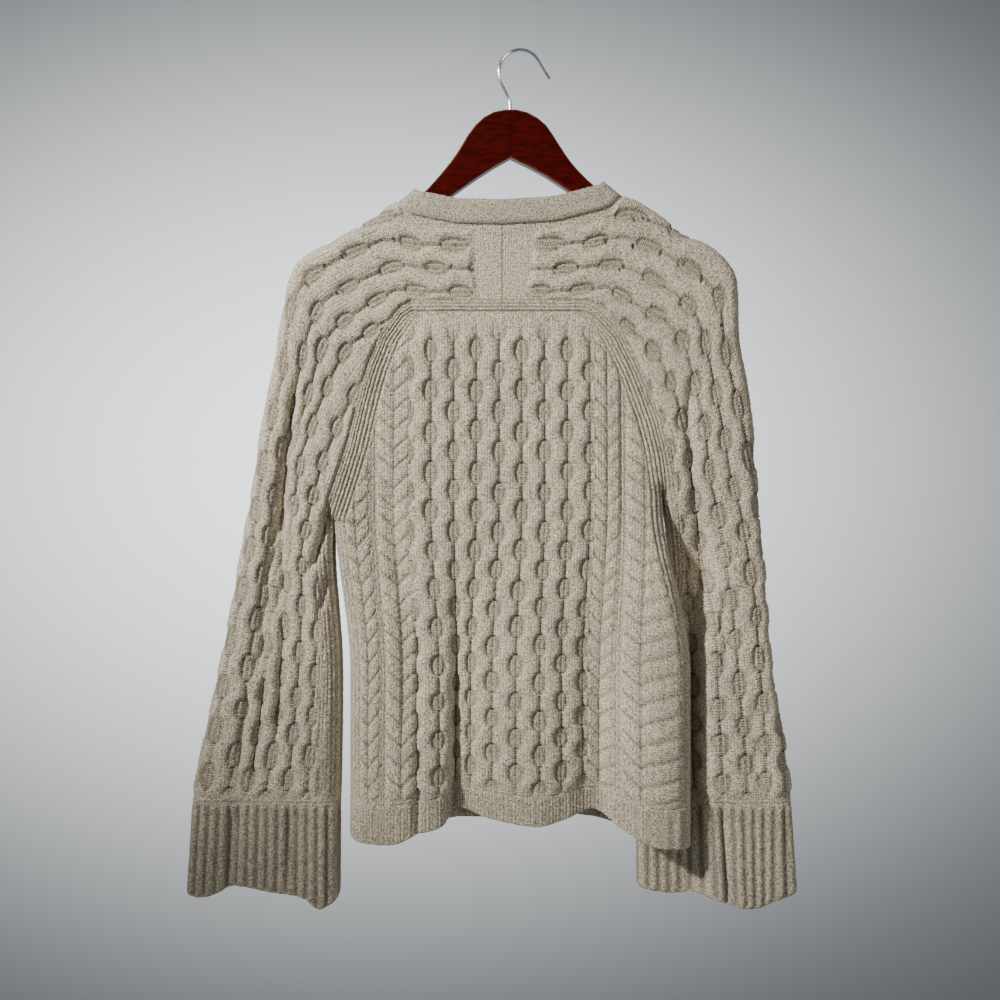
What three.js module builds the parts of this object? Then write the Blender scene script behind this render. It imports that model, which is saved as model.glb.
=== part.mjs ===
import * as THREE from 'three';

// A cable knit sweater hung on a flat wooden hanger. Its back faces -Y and its front +Y.
// Millimetres. The origin is where the hook is held, X runs to the right of someone who
// looks at the back, and Z runs up. "Down" in a table is the distance below the origin.

// Knit
const KNIT = 2.6; // thickness of the knit between its cables
const CABLE_RISE = 4; // height of a cable over the knit
const PLAIT_RISE = 2.6;
const PLAIT_LOW = 0.2; // the part of that rise which is left between two strands
const RIB_RISE = 1.6;
const NECK_RISE = 1.1; // height of a rib of the neckband
const EDGE_RISE = 0.5; // height of the knit beside the cables and plaits of the body
const GROOVE = 0.05; // height between two ropes, as a part of the rise of a cable
const ROPE_TOP = 4; // half the width of the top of a rope
const CABLE_PITCH = 22.3; // from one column of cables to the next
const CABLE_REPEAT = 40; // length of one repeat of a cable
const PLAIT_REPEAT = 20;
const CABLE_START = -322; // height at which the middle cables of the back stand open
const MIDDLE_COLUMN = -18.5; // where the middle column of cables hangs
const COLUMNS_ASIDE = 4; // columns of cables on each side of the middle one
const BODY_SWAY = 3.5; // how far a rope of the body winds to each side
const ARM_SWAY = 0.17; // the same on the sleeves, as a part of the pitch there
const SEAM_GAP = 0.3;

// Hang of the cloth
const FOLD = 18; // the cloth reaches its full depth this far in from a folded edge
const FOLD_POWER = 2.5; // 2 is a round fold, and a higher number a blunter one
const SHOULDER_DEPTH = 15; // from the middle of the garment to one face, over the hanger
const BODY_DEPTH = 22; // the same below the arms
const DEEPENS_FROM = -200; // height at which the depth begins to grow, and over what height
const DEEPENS_OVER = 270;
const EDGE_INSET = 3; // the cables at an edge reach this far past the cloth they stand on
const CREASE_OPENING = 0.8; // how fast the crease under an arm closes above it
const CREASE_FADE = 0.25; // the part of a crease's length over which it fades out at each end
const DEEPEST_CREASE = 0.7; // the part of the cloth's depth that a crease can take
const NECK_BAND = 24;
const HEM_BAND = 30;
const HEM_FOLLOW = 0.45; // how much the seam of the hem rib follows its lower edge

const BODY_STRETCH = -600; // the cables of the body shorten below this height
const BODY_END = -738; // where its panels end, before they follow the hem
const LEAN_FROM = -450; // height at which the lines of the body begin to lean, and over what height
const LEAN_OVER = 170;
const FOLDS_FROM = -430; // the same for the folds of the hem
const FOLDS_OVER = 330;
const TUCK_FROM = 0.3; // the part of a tucked sleeve that hangs behind the body
const TUCK_WIDTH = 0.2;
const TUCK_ROWS = 4; // rows below the underarm over which it goes behind
const CUFF_RIBS = 15; // ribs on each face of a cuff
const NECK_RIB_STEP = 5;
const ARM_COLUMNS = 5; // columns of cables on each face of a sleeve
const KEPT_ARM_ROWS = [0, 2, 4, 4.4, 4.75, 5, 6, 8, 10, 11, 12, 14, 16, 18, 20, 22, 24, 26, 28, 30, 32];
const ARM_ROWS = [...KEPT_ARM_ROWS, 1, 3, 7, 9, 13, 15, 17, 19, 21, 23, 25, 27, 29, 31].sort((a, b) => a - b);

// Columns of plaits at the sides of the body, by the line of the cloth at their middle
const PLAITS = [
  { middle: -160, half: 13 },
  { middle: -122, half: 14 },
  { middle: 87, half: 13 },
  { middle: 125, half: 12 },
];

// Each arm, from the middle of the back (row 0) past the neck point (row 5) and the underarm
// (row 18) to the cuff (row 32): its seam on the back, its outline, and its seam on the front.
const NECK_ROW = 5;
const UNDERARM_ROW = 18;
const CUFF_ROW = 32;
const LEFT_ARM = [
  { row: 0, backX: -15.8, backDown: 262.3, outerX: -15.8, outerDown: 175.5, frontX: -110, frontDown: 186.5 },
  { row: 2, backX: -51.5, backDown: 262.3, outerX: -62, outerDown: 174.5, frontX: -110, frontDown: 186.5 },
  { row: 4, backX: -87.4, backDown: 262.3, outerX: -107, outerDown: 165.5, frontX: -110, frontDown: 186.5 },
  { row: 5, backX: -104.7, backDown: 262.3, outerX: -121, outerDown: 152, frontX: -110, frontDown: 186.5 },
  { row: 6, backX: -114.5, backDown: 269.2, outerX: -142, outerDown: 164, frontX: -114, frontDown: 207 },
  { row: 8, backX: -130.3, backDown: 291.9, outerX: -181, outerDown: 188.5, frontX: -124, frontDown: 250 },
  { row: 10, backX: -141.6, backDown: 321.4, outerX: -215, outerDown: 208.5, frontX: -135, frontDown: 294 },
  { row: 11, backX: -146.8, backDown: 339, outerX: -225, outerDown: 225, frontX: -140.5, frontDown: 316 },
  { row: 12, backX: -151.5, backDown: 357.9, outerX: -232, outerDown: 251.5, frontX: -146, frontDown: 338 },
  { row: 14, backX: -160.8, backDown: 398.3, outerX: -241, outerDown: 308.5, frontX: -157, frontDown: 381 },
  { row: 16, backX: -172.5, backDown: 436.7, outerX: -253.5, outerDown: 368.5, frontX: -170, frontDown: 425 },
  { row: 18, backX: -183, backDown: 468.5, outerX: -263, outerDown: 430.5, frontX: -183, frontDown: 468.5 },
  { row: 20, backX: -184, backDown: 508, outerX: -271, outerDown: 475, frontX: -184, frontDown: 508 },
  { row: 25, backX: -177, backDown: 608.5, outerX: -292, outerDown: 588.5, frontX: -177, frontDown: 608.5 },
  { row: 32, backX: -178, backDown: 745.5, outerX: -325, outerDown: 743.5, frontX: -178, frontDown: 745.5 },
];
const RIGHT_ARM = [
  { row: 0, backX: -15.2, backDown: 262.3, outerX: -15.2, outerDown: 175.5, frontX: 89, frontDown: 180.5 },
  { row: 2, backX: 17.2, backDown: 262.3, outerX: 37, outerDown: 172.5, frontX: 89, frontDown: 180.5 },
  { row: 4, backX: 49.6, backDown: 262.3, outerX: 88, outerDown: 159.5, frontX: 89, frontDown: 180.5 },
  { row: 5, backX: 65.7, backDown: 262.3, outerX: 104, outerDown: 145.5, frontX: 89, frontDown: 180.5 },
  { row: 6, backX: 77.5, backDown: 269.2, outerX: 123, outerDown: 154, frontX: 93.5, frontDown: 201 },
  { row: 8, backX: 95.3, backDown: 288.9, outerX: 158, outerDown: 177.5, frontX: 103, frontDown: 243 },
  { row: 10, backX: 109, backDown: 316.5, outerX: 194, outerDown: 198.5, frontX: 111, frontDown: 283 },
  { row: 11, backX: 115.3, backDown: 331, outerX: 208, outerDown: 212, frontX: 115, frontDown: 303 },
  { row: 12, backX: 121, backDown: 346, outerX: 216, outerDown: 229, frontX: 119, frontDown: 323 },
  { row: 14, backX: 131, backDown: 374.6, outerX: 219, outerDown: 288, frontX: 127, frontDown: 362 },
  { row: 16, backX: 138, backDown: 404, outerX: 230, outerDown: 348.5, frontX: 135, frontDown: 401 },
  { row: 18, backX: 143, backDown: 440.5, outerX: 236, outerDown: 408.5, frontX: 143, frontDown: 440.5 },
  { row: 20, backX: 150.5, backDown: 483, outerX: 241, outerDown: 458, frontX: 150.5, frontDown: 483 },
  { row: 22, backX: 155, backDown: 527, outerX: 246, outerDown: 508, frontX: 155, frontDown: 527 },
  { row: 24, backX: 147, backDown: 571, outerX: 249, outerDown: 553, frontX: 147, frontDown: 571 },
  { row: 26, backX: 138, backDown: 615, outerX: 252, outerDown: 598, frontX: 138, frontDown: 615 },
  { row: 29, backX: 126, backDown: 682, outerX: 265, outerDown: 678.5, frontX: 126, frontDown: 682 },
  { row: 32, backX: 120, backDown: 745.5, outerX: 273, outerDown: 745.5, frontX: 120, frontDown: 745.5 },
];

// Lower edge of each cuff, from the sleeve's inner edge (0) to its outer edge (1)
const LEFT_CUFF = [
  { across: 0, x: -178.5, down: 842 },
  { across: 0.12, x: -196, down: 849 },
  { across: 0.22, x: -211, down: 838 },
  { across: 0.45, x: -245, down: 832 },
  { across: 0.66, x: -276, down: 827 },
  { across: 0.85, x: -306, down: 837 },
  { across: 1, x: -328, down: 836 },
];
const RIGHT_CUFF = [
  { across: 0, x: 121, down: 838 },
  { across: 0.2, x: 152, down: 843 },
  { across: 0.42, x: 187, down: 840 },
  { across: 0.62, x: 217, down: 848 },
  { across: 0.75, x: 234, down: 848 },
  { across: 0.88, x: 252, down: 841 },
  { across: 1, x: 277, down: 834 },
];

// Creases in the sleeves: a trough from one end to the other, with its half width and depth
const LEFT_CREASES = [
  { face: -1, topX: -211, topDown: 300, endX: -218, endDown: 660, width: 9, depth: 11 },
  { face: -1, topX: -188, topDown: 446, endX: -204, endDown: 540, width: 7, depth: 8 },
  { face: -1, topX: -276, topDown: 730, endX: -286, endDown: 860, width: 12, depth: 7 },
  { face: 1, topX: -222, topDown: 330, endX: -236, endDown: 640, width: 11, depth: 9 },
];
const RIGHT_CREASES = [
  { face: -1, topX: 176, topDown: 330, endX: 180, endDown: 470, width: 9, depth: 6 },
  { face: -1, topX: 214, topDown: 560, endX: 222, endDown: 700, width: 14, depth: 4 },
  { face: 1, topX: 190, topDown: 330, endX: 200, endDown: 640, width: 11, depth: 8 },
];

// Across the body: how far each line of the cloth has moved sideways by the hem
const BODY_LEAN = [
  { at: -183, lean: 16 },
  { at: -173, lean: 17 },
  { at: -137, lean: 10 },
  { at: -107.7, lean: 7 },
  { at: -85.4, lean: 8 },
  { at: -63.1, lean: 2 },
  { at: -40.8, lean: -6 },
  { at: -18.5, lean: -7 },
  { at: 26.1, lean: -5 },
  { at: 70.7, lean: -8 },
  { at: 106, lean: -6 },
  { at: 130, lean: -6 },
  { at: 136, lean: 8 },
  { at: 143, lean: 26 },
];

// Below the right underarm the side of the body comes forward, by this part of the whole
const FORWARD_DEPTH = 14;
const FORWARD_FROM = 70; // across the body, from where and over what width
const FORWARD_OVER = 70;
const FORWARD_SLIM = 0.5; // how much nearer the two faces of the body are there
const FORWARD = [
  { down: 440.5, part: 0 },
  { down: 482, part: 0.35 },
  { down: 522, part: 0.85 },
  { down: 562, part: 1 },
];

// Lower edge of the body, and how far its folds come forward there, on the back and front
const HEM = [
  { x: -168, backDown: 781, frontDown: 781, backFold: -4, frontFold: 0 },
  { x: -150, backDown: 782, frontDown: 783, backFold: 8, frontFold: 4 },
  { x: -120, backDown: 782, frontDown: 780, backFold: 12, frontFold: 6 },
  { x: -98, backDown: 773, frontDown: 774, backFold: 10, frontFold: 2 },
  { x: -74, backDown: 766, frontDown: 770, backFold: 6, frontFold: -3 },
  { x: -60, backDown: 752, frontDown: 770, backFold: -8, frontFold: -2 },
  { x: -30, backDown: 760, frontDown: 772, backFold: -1, frontFold: 4 },
  { x: 18, backDown: 767, frontDown: 768, backFold: 5, frontFold: 5 },
  { x: 46, backDown: 761, frontDown: 765, backFold: 0, frontFold: -2 },
  { x: 74, backDown: 753, frontDown: 768, backFold: -8, frontFold: -5 },
  { x: 100, backDown: 767, frontDown: 774, backFold: 5, frontFold: 0 },
  { x: 130, backDown: 782, frontDown: 780, backFold: 9, frontFold: 0 },
  { x: 169, backDown: 786, frontDown: 785, backFold: 0, frontFold: 0 },
];

// Neckline on the front, where the neckband is sewn on
const FRONT_NECK = [
  { x: -110, down: 186.5 },
  { x: -90, down: 218 },
  { x: -60, down: 246 },
  { x: -10, down: 262 },
  { x: 40, down: 245 },
  { x: 70, down: 214 },
  { x: 89, down: 180.5 },
];

// The line of each shoulder, which goes on up over the hanger inside the neck
const SHOULDER_LINES = [
  { x: -121, z: -155, slope: 0.78 },
  { x: 104, z: -148.5, slope: -0.8 },
];

// Direction of the neckband up from its seam, in degrees from level, from the middle out
const NECK_MIDDLE = -8.5;
const NECK_HALF = 112.5;
const NECK_LEAN = [
  { out: 0, back: 90, front: 90 },
  { out: 0.5, back: 86, front: 72 },
  { out: 0.8, back: 76, front: 56 },
  { out: 0.875, back: 69, front: 50 },
  { out: 0.925, back: 57, front: 45 },
  { out: 0.968, back: 44, front: 41 },
  { out: 1, back: 38, front: 38 },
];

// Small helpers for numbers and tables

const clamp = (value, low, high) => Math.min(Math.max(value, low), high);
const mix = (from, to, part) => from + (to - from) * part;

function ease(part) {
  const k = clamp(part, 0, 1);
  return k * k * (3 - 2 * k);
}

function span(table, key, at) {
  let k = 0;
  while (k < table.length - 2 && at > table[k + 1][key]) k += 1;
  return k;
}

// A straight line between the rows of a table
function straight(table, key, at, name) {
  const k = span(table, key, at);
  const part = (at - table[k][key]) / (table[k + 1][key] - table[k][key]);
  return mix(table[k][name], table[k + 1][name], clamp(part, 0, 1));
}

// A smooth curve through the rows of a table
function smooth(table, key, at, name) {
  const k = span(table, key, at);
  const last = table.length - 1;
  const width = table[k + 1][key] - table[k][key];
  const t = clamp((at - table[k][key]) / width, 0, 1);
  const slope = (m) => {
    const before = table[Math.max(m - 1, 0)];
    const after = table[Math.min(m + 1, last)];
    return ((after[name] - before[name]) / (after[key] - before[key])) * width;
  };
  const rest = 1 - t;
  return (
    table[k][name] * (1 + 2 * t) * rest * rest +
    slope(k) * t * rest * rest +
    table[k + 1][name] * t * t * (3 - 2 * t) -
    slope(k + 1) * t * t * rest
  );
}

// Shared shape of the hanging cloth

// From 0 at a folded edge to 1 where the cloth has its full depth
function fullness(fromEdge) {
  const rest = clamp(1 - fromEdge / FOLD, 0, 1);
  return (1 - rest ** FOLD_POWER) ** (1 / FOLD_POWER);
}

const depthAt = (z) => mix(SHOULDER_DEPTH, BODY_DEPTH, ease((DEEPENS_FROM - z) / DEEPENS_OVER));

// The distance below the two lines of the shoulders
function belowShoulder(x, z) {
  const below = SHOULDER_LINES.map((line) => {
    const above = line.z + line.slope * (x - line.x) - z;
    return above / Math.hypot(1, line.slope);
  });
  return Math.max(0, Math.min(...below));
}

// How far the lower right of the body stands forward, because a sleeve hangs behind it
function forward(x, z) {
  const across = ease((x - FORWARD_FROM) / FORWARD_OVER);
  return FORWARD_DEPTH * across * straight(FORWARD, 'down', -z, 'part');
}

function creased(creases, face, x, z) {
  let depth = 0;
  for (const crease of creases) {
    if (crease.face !== face) continue;
    const part = (-z - crease.topDown) / (crease.endDown - crease.topDown);
    if (part <= 0 || part >= 1) continue;
    const aside = (x - mix(crease.topX, crease.endX, part)) / crease.width;
    const ends = ease(part / CREASE_FADE) * ease((1 - part) / CREASE_FADE);
    depth += crease.depth * Math.exp(-aside * aside) * ends;
  }
  return depth;
}

// The arms

const arms = {
  left: { side: -1, table: LEFT_ARM, creases: LEFT_CREASES, cuff: LEFT_CUFF, tuckBack: 0, tuckSlim: 0 },
  right: { side: 1, table: RIGHT_ARM, creases: RIGHT_CREASES, cuff: RIGHT_CUFF, tuckBack: 16.5, tuckSlim: 0.5 },
};

// An arm's seam is straight between the rows of its table, down to the underarm. Its outline is
// straight under the neckband and a smooth curve beyond it.
function armAt(arm, row, name) {
  const turns = name.startsWith('outer') ? NECK_ROW : UNDERARM_ROW;
  const beyond = arm.table.filter((entry) => entry.row >= turns);
  return row < turns ? straight(arm.table, 'row', row, name) : smooth(beyond, 'row', row, name);
}

const underarmX = (arm) => armAt(arm, UNDERARM_ROW, 'backX');
const underarmZ = (arm) => -armAt(arm, UNDERARM_ROW, 'backDown');

// The Y of a sleeve's cloth: part is 0 at its inner end and 1 at its outline
function sleeveY(arm, face, row, part, length, x, z, neckDrop, aboveArm) {
  const behind = 1 - ease((part - TUCK_FROM) / TUCK_WIDTH);
  const tucked = ease((row - UNDERARM_ROW) / TUCK_ROWS) * behind;
  const depth =
    depthAt(z) *
    (1 - arm.tuckSlim * tucked) *
    fullness((1 - part) * length + neckDrop) *
    fullness(part * length + aboveArm);
  const dent = Math.min(creased(arm.creases, face, x, z), depth * DEEPEST_CREASE);
  return arm.tuckBack * tucked + face * (depth - dent);
}

// A point of an arm: across is 0 at the seam on the back, 1 at the outline, 2 at the front seam
function armPoint(arm, row, across) {
  const face = across <= 1 ? -1 : 1;
  const part = face < 0 ? across : 2 - across;
  const seam = face < 0 ? 'back' : 'front';
  const innerX = armAt(arm, row, `${seam}X`);
  const innerZ = -armAt(arm, row, `${seam}Down`);
  const edgeX = armAt(arm, row, 'outerX');
  const edgeZ = -armAt(arm, row, 'outerDown');
  const whole = Math.hypot(edgeX - innerX, edgeZ - innerZ);
  const start = SEAM_GAP / whole;
  const end = 1 - (EDGE_INSET * ease(row - NECK_ROW + 1)) / whole;
  const x = mix(innerX, edgeX, mix(start, end, part));
  const z = mix(innerZ, edgeZ, mix(start, end, part));
  const neckDrop = row < NECK_ROW ? belowShoulder(mix(innerX, edgeX, end), mix(innerZ, edgeZ, end)) : 0;
  const aboveArm = CREASE_OPENING * Math.max(0, innerZ - underarmZ(arm));
  const y = sleeveY(arm, face, row, part, whole * end, x, z, neckDrop, aboveArm);
  return new THREE.Vector3(x, y, z);
}

// A point of a cuff, from its seam (0) to its lower edge (1)
function cuffPoint(arm, drop, across) {
  const face = across <= 1 ? -1 : 1;
  const part = face < 0 ? across : 2 - across;
  const top = armPoint(arm, CUFF_ROW, across);
  const x = mix(top.x, smooth(arm.cuff, 'across', part, 'x'), drop);
  const z = mix(top.z - SEAM_GAP, -smooth(arm.cuff, 'across', part, 'down'), drop);
  const length = Math.abs(arm.cuff[0].x - arm.cuff[arm.cuff.length - 1].x);
  const y = sleeveY(arm, face, CUFF_ROW, part, length, x, z, 0, 0);
  return new THREE.Vector3(x, drop === 0 ? top.y : y, z);
}

// The body

const leanAt = (at, z) => straight(BODY_LEAN, 'at', at, 'lean') * ease((LEAN_FROM - z) / LEAN_OVER);

// Where an arm's seam meets the body, row by row
function armSeam(arm, face) {
  const seam = face < 0 ? 'back' : 'front';
  return ARM_ROWS.filter((row) => row <= UNDERARM_ROW && (face < 0 || row >= NECK_ROW)).map((row) => ({
    row,
    x: armAt(arm, row, `${seam}X`),
    z: -armAt(arm, row, `${seam}Down`),
  }));
}

// The side of the body at a height: the arm's seam above the underarm, the side seam below it
function bodySide(arm, face, z) {
  const below = underarmX(arm) + leanAt(underarmX(arm), z);
  if (z <= underarmZ(arm)) return below;
  const seam = seams[face < 0 ? 'back' : 'front'][arm.side < 0 ? 'left' : 'right'].filter(
    (node) => node.row >= NECK_ROW,
  );
  return straight([...seam].reverse(), 'z', z, 'x');
}

function bodyY(face, x, z) {
  let open = 1;
  for (const arm of [arms.left, arms.right]) {
    const fromSide = arm.side * (bodySide(arm, face, z) - x);
    open *= fullness(Math.max(0, fromSide) + CREASE_OPENING * Math.max(0, z - underarmZ(arm)));
  }
  const ahead = forward(x, z);
  const slim = face < 0 ? 0 : (FORWARD_SLIM * ahead) / FORWARD_DEPTH;
  const depth = depthAt(z) * (1 - slim);
  const grown = ease((FOLDS_FROM - z) / FOLDS_OVER);
  const fold = smooth(HEM, 'x', x, face < 0 ? 'backFold' : 'frontFold') * grown;
  return -ahead + face * ((depth + fold) * open + SEAM_GAP / 2);
}

const hemZ = (face, x) => -smooth(HEM, 'x', x, face < 0 ? 'backDown' : 'frontDown');

// A point of the body: at is the line of the cloth, and level its height before it hangs
function bodyPoint(face, at, level) {
  const x = at + leanAt(at, level);
  const end = straight(hemSeams[face < 0 ? 'back' : 'front'], 'x', at + leanAt(at, BODY_END), 'z');
  const z = level + (end - BODY_END) * ease((BODY_STRETCH - level) / (BODY_STRETCH - BODY_END));
  return new THREE.Vector3(x, bodyY(face, x, z), z);
}

function hemPoint(face, at, drop) {
  const top = bodyPoint(face, at, BODY_END);
  const z = mix(top.z - SEAM_GAP, hemZ(face, top.x), drop);
  return new THREE.Vector3(top.x, bodyY(face, top.x, z), z);
}

// The front neckline, straight from one column of cables to the next
function neckline(at) {
  const column = Math.floor((at - MIDDLE_COLUMN) / CABLE_PITCH);
  const ends = [column, column + 1].map((n) =>
    clamp(MIDDLE_COLUMN + n * CABLE_PITCH, FRONT_NECK[0].x, FRONT_NECK[FRONT_NECK.length - 1].x),
  );
  const [from, to] = ends.map((x) => -smooth(FRONT_NECK, 'x', x, 'down'));
  return mix(from, to, (at - ends[0]) / (ends[1] - ends[0]));
}

// Where a panel of the body begins under the arms, the yoke or the neckband
function panelTop(face, at) {
  const { left, right } = seams[face < 0 ? 'back' : 'front'];
  if (at < left[0].x) return straight([...left].reverse(), 'x', at, 'z');
  if (at > right[0].x) return straight(right, 'x', at, 'z');
  return face < 0 ? left[0].z : neckline(at);
}

// Making a closed wall

// The direction out of a surface at a place, from points of the surface close by
function outward(surface, u, v, stepU, stepV, sign) {
  const alongU = surface(u + stepU[1], v).sub(surface(u + stepU[0], v));
  const alongV = surface(u, v + stepV[1]).sub(surface(u, v + stepV[0]));
  return alongU.cross(alongV).normalize().multiplyScalar(sign);
}

// The step each way that a direction out of the cloth is measured over: across an arm, as a part
// of its face, and along a row, a line of the cloth or a height
const STEP_ACROSS = 0.004;
const STEP_ALONG = 0.05;

// Keeps a small step each way inside a range
const inside = (at, low, high, step) => [Math.max(low - at, -step), Math.min(high - at, step)];

// Thickens a grid of cloth. Its outer face has each row and line, and its plain inner face only
// those that are kept. A place can stand for another one, where lines end or a tube closes.
function knitWall(cloth) {
  const { rows, lines, place, has, same, keepRow, keepLine, turn } = cloth;
  const key = (i, j) => {
    const [a, b] = same(i, j);
    return a * lines + b;
  };
  const points = [];
  const index = [];
  const outer = new Map();
  const inner = new Map();
  const corner = (faceMap, id) => {
    if (!faceMap.has(id)) {
      const { point, out, rise } = place(Math.floor(id / lines), id % lines);
      const shift = faceMap === outer ? rise : -KNIT;
      faceMap.set(id, points.length / 3);
      points.push(...point.clone().addScaledVector(out, shift).toArray());
    }
    return faceMap.get(id);
  };
  const triangle = (a, b, c) => {
    if (a !== b && b !== c && a !== c) index.push(a, b, c);
  };
  const edges = new Map();
  const sheet = (faceMap, rowList, lineList, flip) => {
    for (let m = 0; m < rowList.length - 1; m += 1) {
      for (let n = 0; n < lineList.length - 1; n += 1) {
        const [i, below, j, beside] = [rowList[m], rowList[m + 1], lineList[n], lineList[n + 1]];
        if (!has(i, j)) continue;
        let ring = [key(i, j), key(below, j), key(below, beside), key(i, beside)];
        ring = ring.filter((id, k) => id !== ring[(k + 1) % ring.length]);
        if (ring.length < 3) continue;
        if (flip) ring.reverse();
        if (faceMap === outer) {
          ring.forEach((id, k) => {
            const next = ring[(k + 1) % ring.length];
            if (!edges.delete(`${next}>${id}`)) edges.set(`${id}>${next}`, [id, next]);
          });
        }
        const at = ring.map((id) => corner(faceMap, id));
        triangle(at[0], at[1], at[2]);
        if (at.length > 3) triangle(at[0], at[2], at[3]);
      }
    }
  };
  const all = (count) => [...Array(count).keys()];
  sheet(outer, all(rows), all(lines), turn);
  sheet(inner, all(rows).filter(keepRow), all(lines).filter(keepLine), !turn);

  const next = new Map([...edges.values()]);
  while (next.size > 0) {
    let id = [...next.keys()].find((candidate) => inner.has(candidate));
    const first = id;
    let seat = id;
    do {
      const after = next.get(id);
      next.delete(id);
      triangle(outer.get(after), outer.get(id), inner.get(seat));
      if (inner.has(after)) {
        triangle(outer.get(after), inner.get(seat), inner.get(after));
        seat = after;
      }
      id = after;
    } while (id !== first);
  }
  const geometry = new THREE.BufferGeometry();
  geometry.setAttribute('position', new THREE.Float32BufferAttribute(points, 3));
  geometry.setIndex(index);
  geometry.computeVertexNormals();
  return geometry;
}

// Lines and rows of the knit

// Half of an arm's lines, counted in cable columns from its seam: ridges between valleys
const HALF_ARM = [
  { at: 0, rise: 0, sway: 0 },
  { at: 0.45, rise: 0.4, sway: 0 },
  { at: 0.85, rise: 1, sway: 1 },
  { at: 1.15, rise: 1, sway: 1 },
  { at: 1.5, rise: 0.05, sway: 0 },
  { at: 1.82, rise: 1, sway: -1 },
  { at: 2.18, rise: 1, sway: -1 },
  { at: 2.5, rise: 0.05, sway: 0 },
  { at: 2.82, rise: 1, sway: 1 },
  { at: 3.18, rise: 1, sway: 1 },
  { at: 3.5, rise: 0.05, sway: 0 },
  { at: 3.82, rise: 1, sway: -1 },
  { at: 4.18, rise: 1, sway: -1 },
  { at: 4.5, rise: 0.05, sway: 0 },
  { at: 4.8, rise: 0.9, sway: 0 },
  { at: 4.94, rise: 1, sway: 0 },
];
const mirrored = ({ at, rise, sway }) => ({ at: 2 * ARM_COLUMNS - at, rise, sway: -sway });
const ARM_LINES = [...HALF_ARM, ...[...HALF_ARM].reverse().map(mirrored)];
const FOLD_LINE = HALF_ARM.length - 1;
const KEPT_ARM_LINES = [0, 1, 3, 6, 9, 12, 13, 14, 15];

function armWall(arm) {
  const surface = (row, across) => {
    const closed = row >= UNDERARM_ROW && (across < 0 || across > 2);
    return armPoint(arm, row, closed ? (across + 2) % 2 : across);
  };
  const place = (i, j) => {
    const row = ARM_ROWS[i];
    const line = ARM_LINES[j];
    const settle = ease(Math.min(row, CUFF_ROW - row));
    const fromNeck = ease(Math.abs(row - NECK_ROW) + Math.abs(line.at - ARM_COLUMNS) / 2);
    const atNeck = row < NECK_ROW && j >= FOLD_LINE ? 0 : fromNeck;
    const sway = ARM_SWAY * line.sway * settle * Math.cos(Math.PI * row);
    const across = (line.at + sway) / ARM_COLUMNS;
    const closed = row >= UNDERARM_ROW;
    const wrap = closed ? [-STEP_ACROSS, STEP_ACROSS] : inside(across, 0, 2, STEP_ACROSS);
    const out = outward(surface, row, across, inside(row, 0, CUFF_ROW, STEP_ALONG), wrap, arm.side);
    if (row === CUFF_ROW) out.setZ(0).normalize();
    return { point: surface(row, across), out, rise: CABLE_RISE * line.rise * settle * atNeck };
  };
  const last = ARM_LINES.length - 1;
  const neck = ARM_ROWS.indexOf(NECK_ROW);
  return knitWall({
    rows: ARM_ROWS.length,
    lines: ARM_LINES.length,
    place,
    has: (i, j) => i >= neck || j < FOLD_LINE,
    same: (i, j) => (ARM_ROWS[i] >= UNDERARM_ROW && j === last ? [i, 0] : [i, j]),
    keepRow: (i) => KEPT_ARM_ROWS.includes(ARM_ROWS[i]),
    keepLine: (j) => KEPT_ARM_LINES.includes(j <= FOLD_LINE ? j : last - j),
    turn: arm.side < 0,
  });
}

function cuffWall(arm) {
  const lines = 4 * CUFF_RIBS;
  const middle = lines / 2;
  const atFolds = [1, 2, middle - 1, middle + 1, lines - 2, lines - 1];
  const drops = [0, 0.1, 0.55, 1];
  const surface = (drop, across) => cuffPoint(arm, clamp(drop, 0, 1), (across + 2) % 2);
  const place = (i, j) => {
    const across = (2 * j) / lines;
    const down = inside(drops[i], 0.01, 1, 0.02);
    const out = outward(surface, drops[i], across, down, [-STEP_ACROSS, STEP_ACROSS], arm.side);
    if (i === 0) out.setZ(0).normalize();
    return { point: surface(drops[i], across), out, rise: i === 0 ? 0 : RIB_RISE * (j % 2) };
  };
  return knitWall({
    rows: drops.length,
    lines: lines + 1,
    place,
    has: () => true,
    same: (i, j) => [i, j % lines],
    keepRow: (i) => i !== 1,
    keepLine: (j) => j % 3 === 0 || atFolds.includes(j),
    turn: arm.side < 0,
  });
}

// The height of the knit on the body where it isn't a cable: side plaits, ribs and edge ribs
function plainRise(at, z) {
  for (const plait of PLAITS) {
    const aside = Math.abs(at - plait.middle) / plait.half;
    if (aside > 1) continue;
    const wave = Math.cos((2 * Math.PI * (z - (aside * PLAIT_REPEAT) / 2)) / PLAIT_REPEAT);
    return PLAIT_RISE * mix(PLAIT_LOW, 1, (1 + wave) / 2) * (1 - aside ** 4);
  }
  return EDGE_RISE;
}

const LEAST_WIDTH = 2.5; // between a cable's line and the lines beside it

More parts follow.
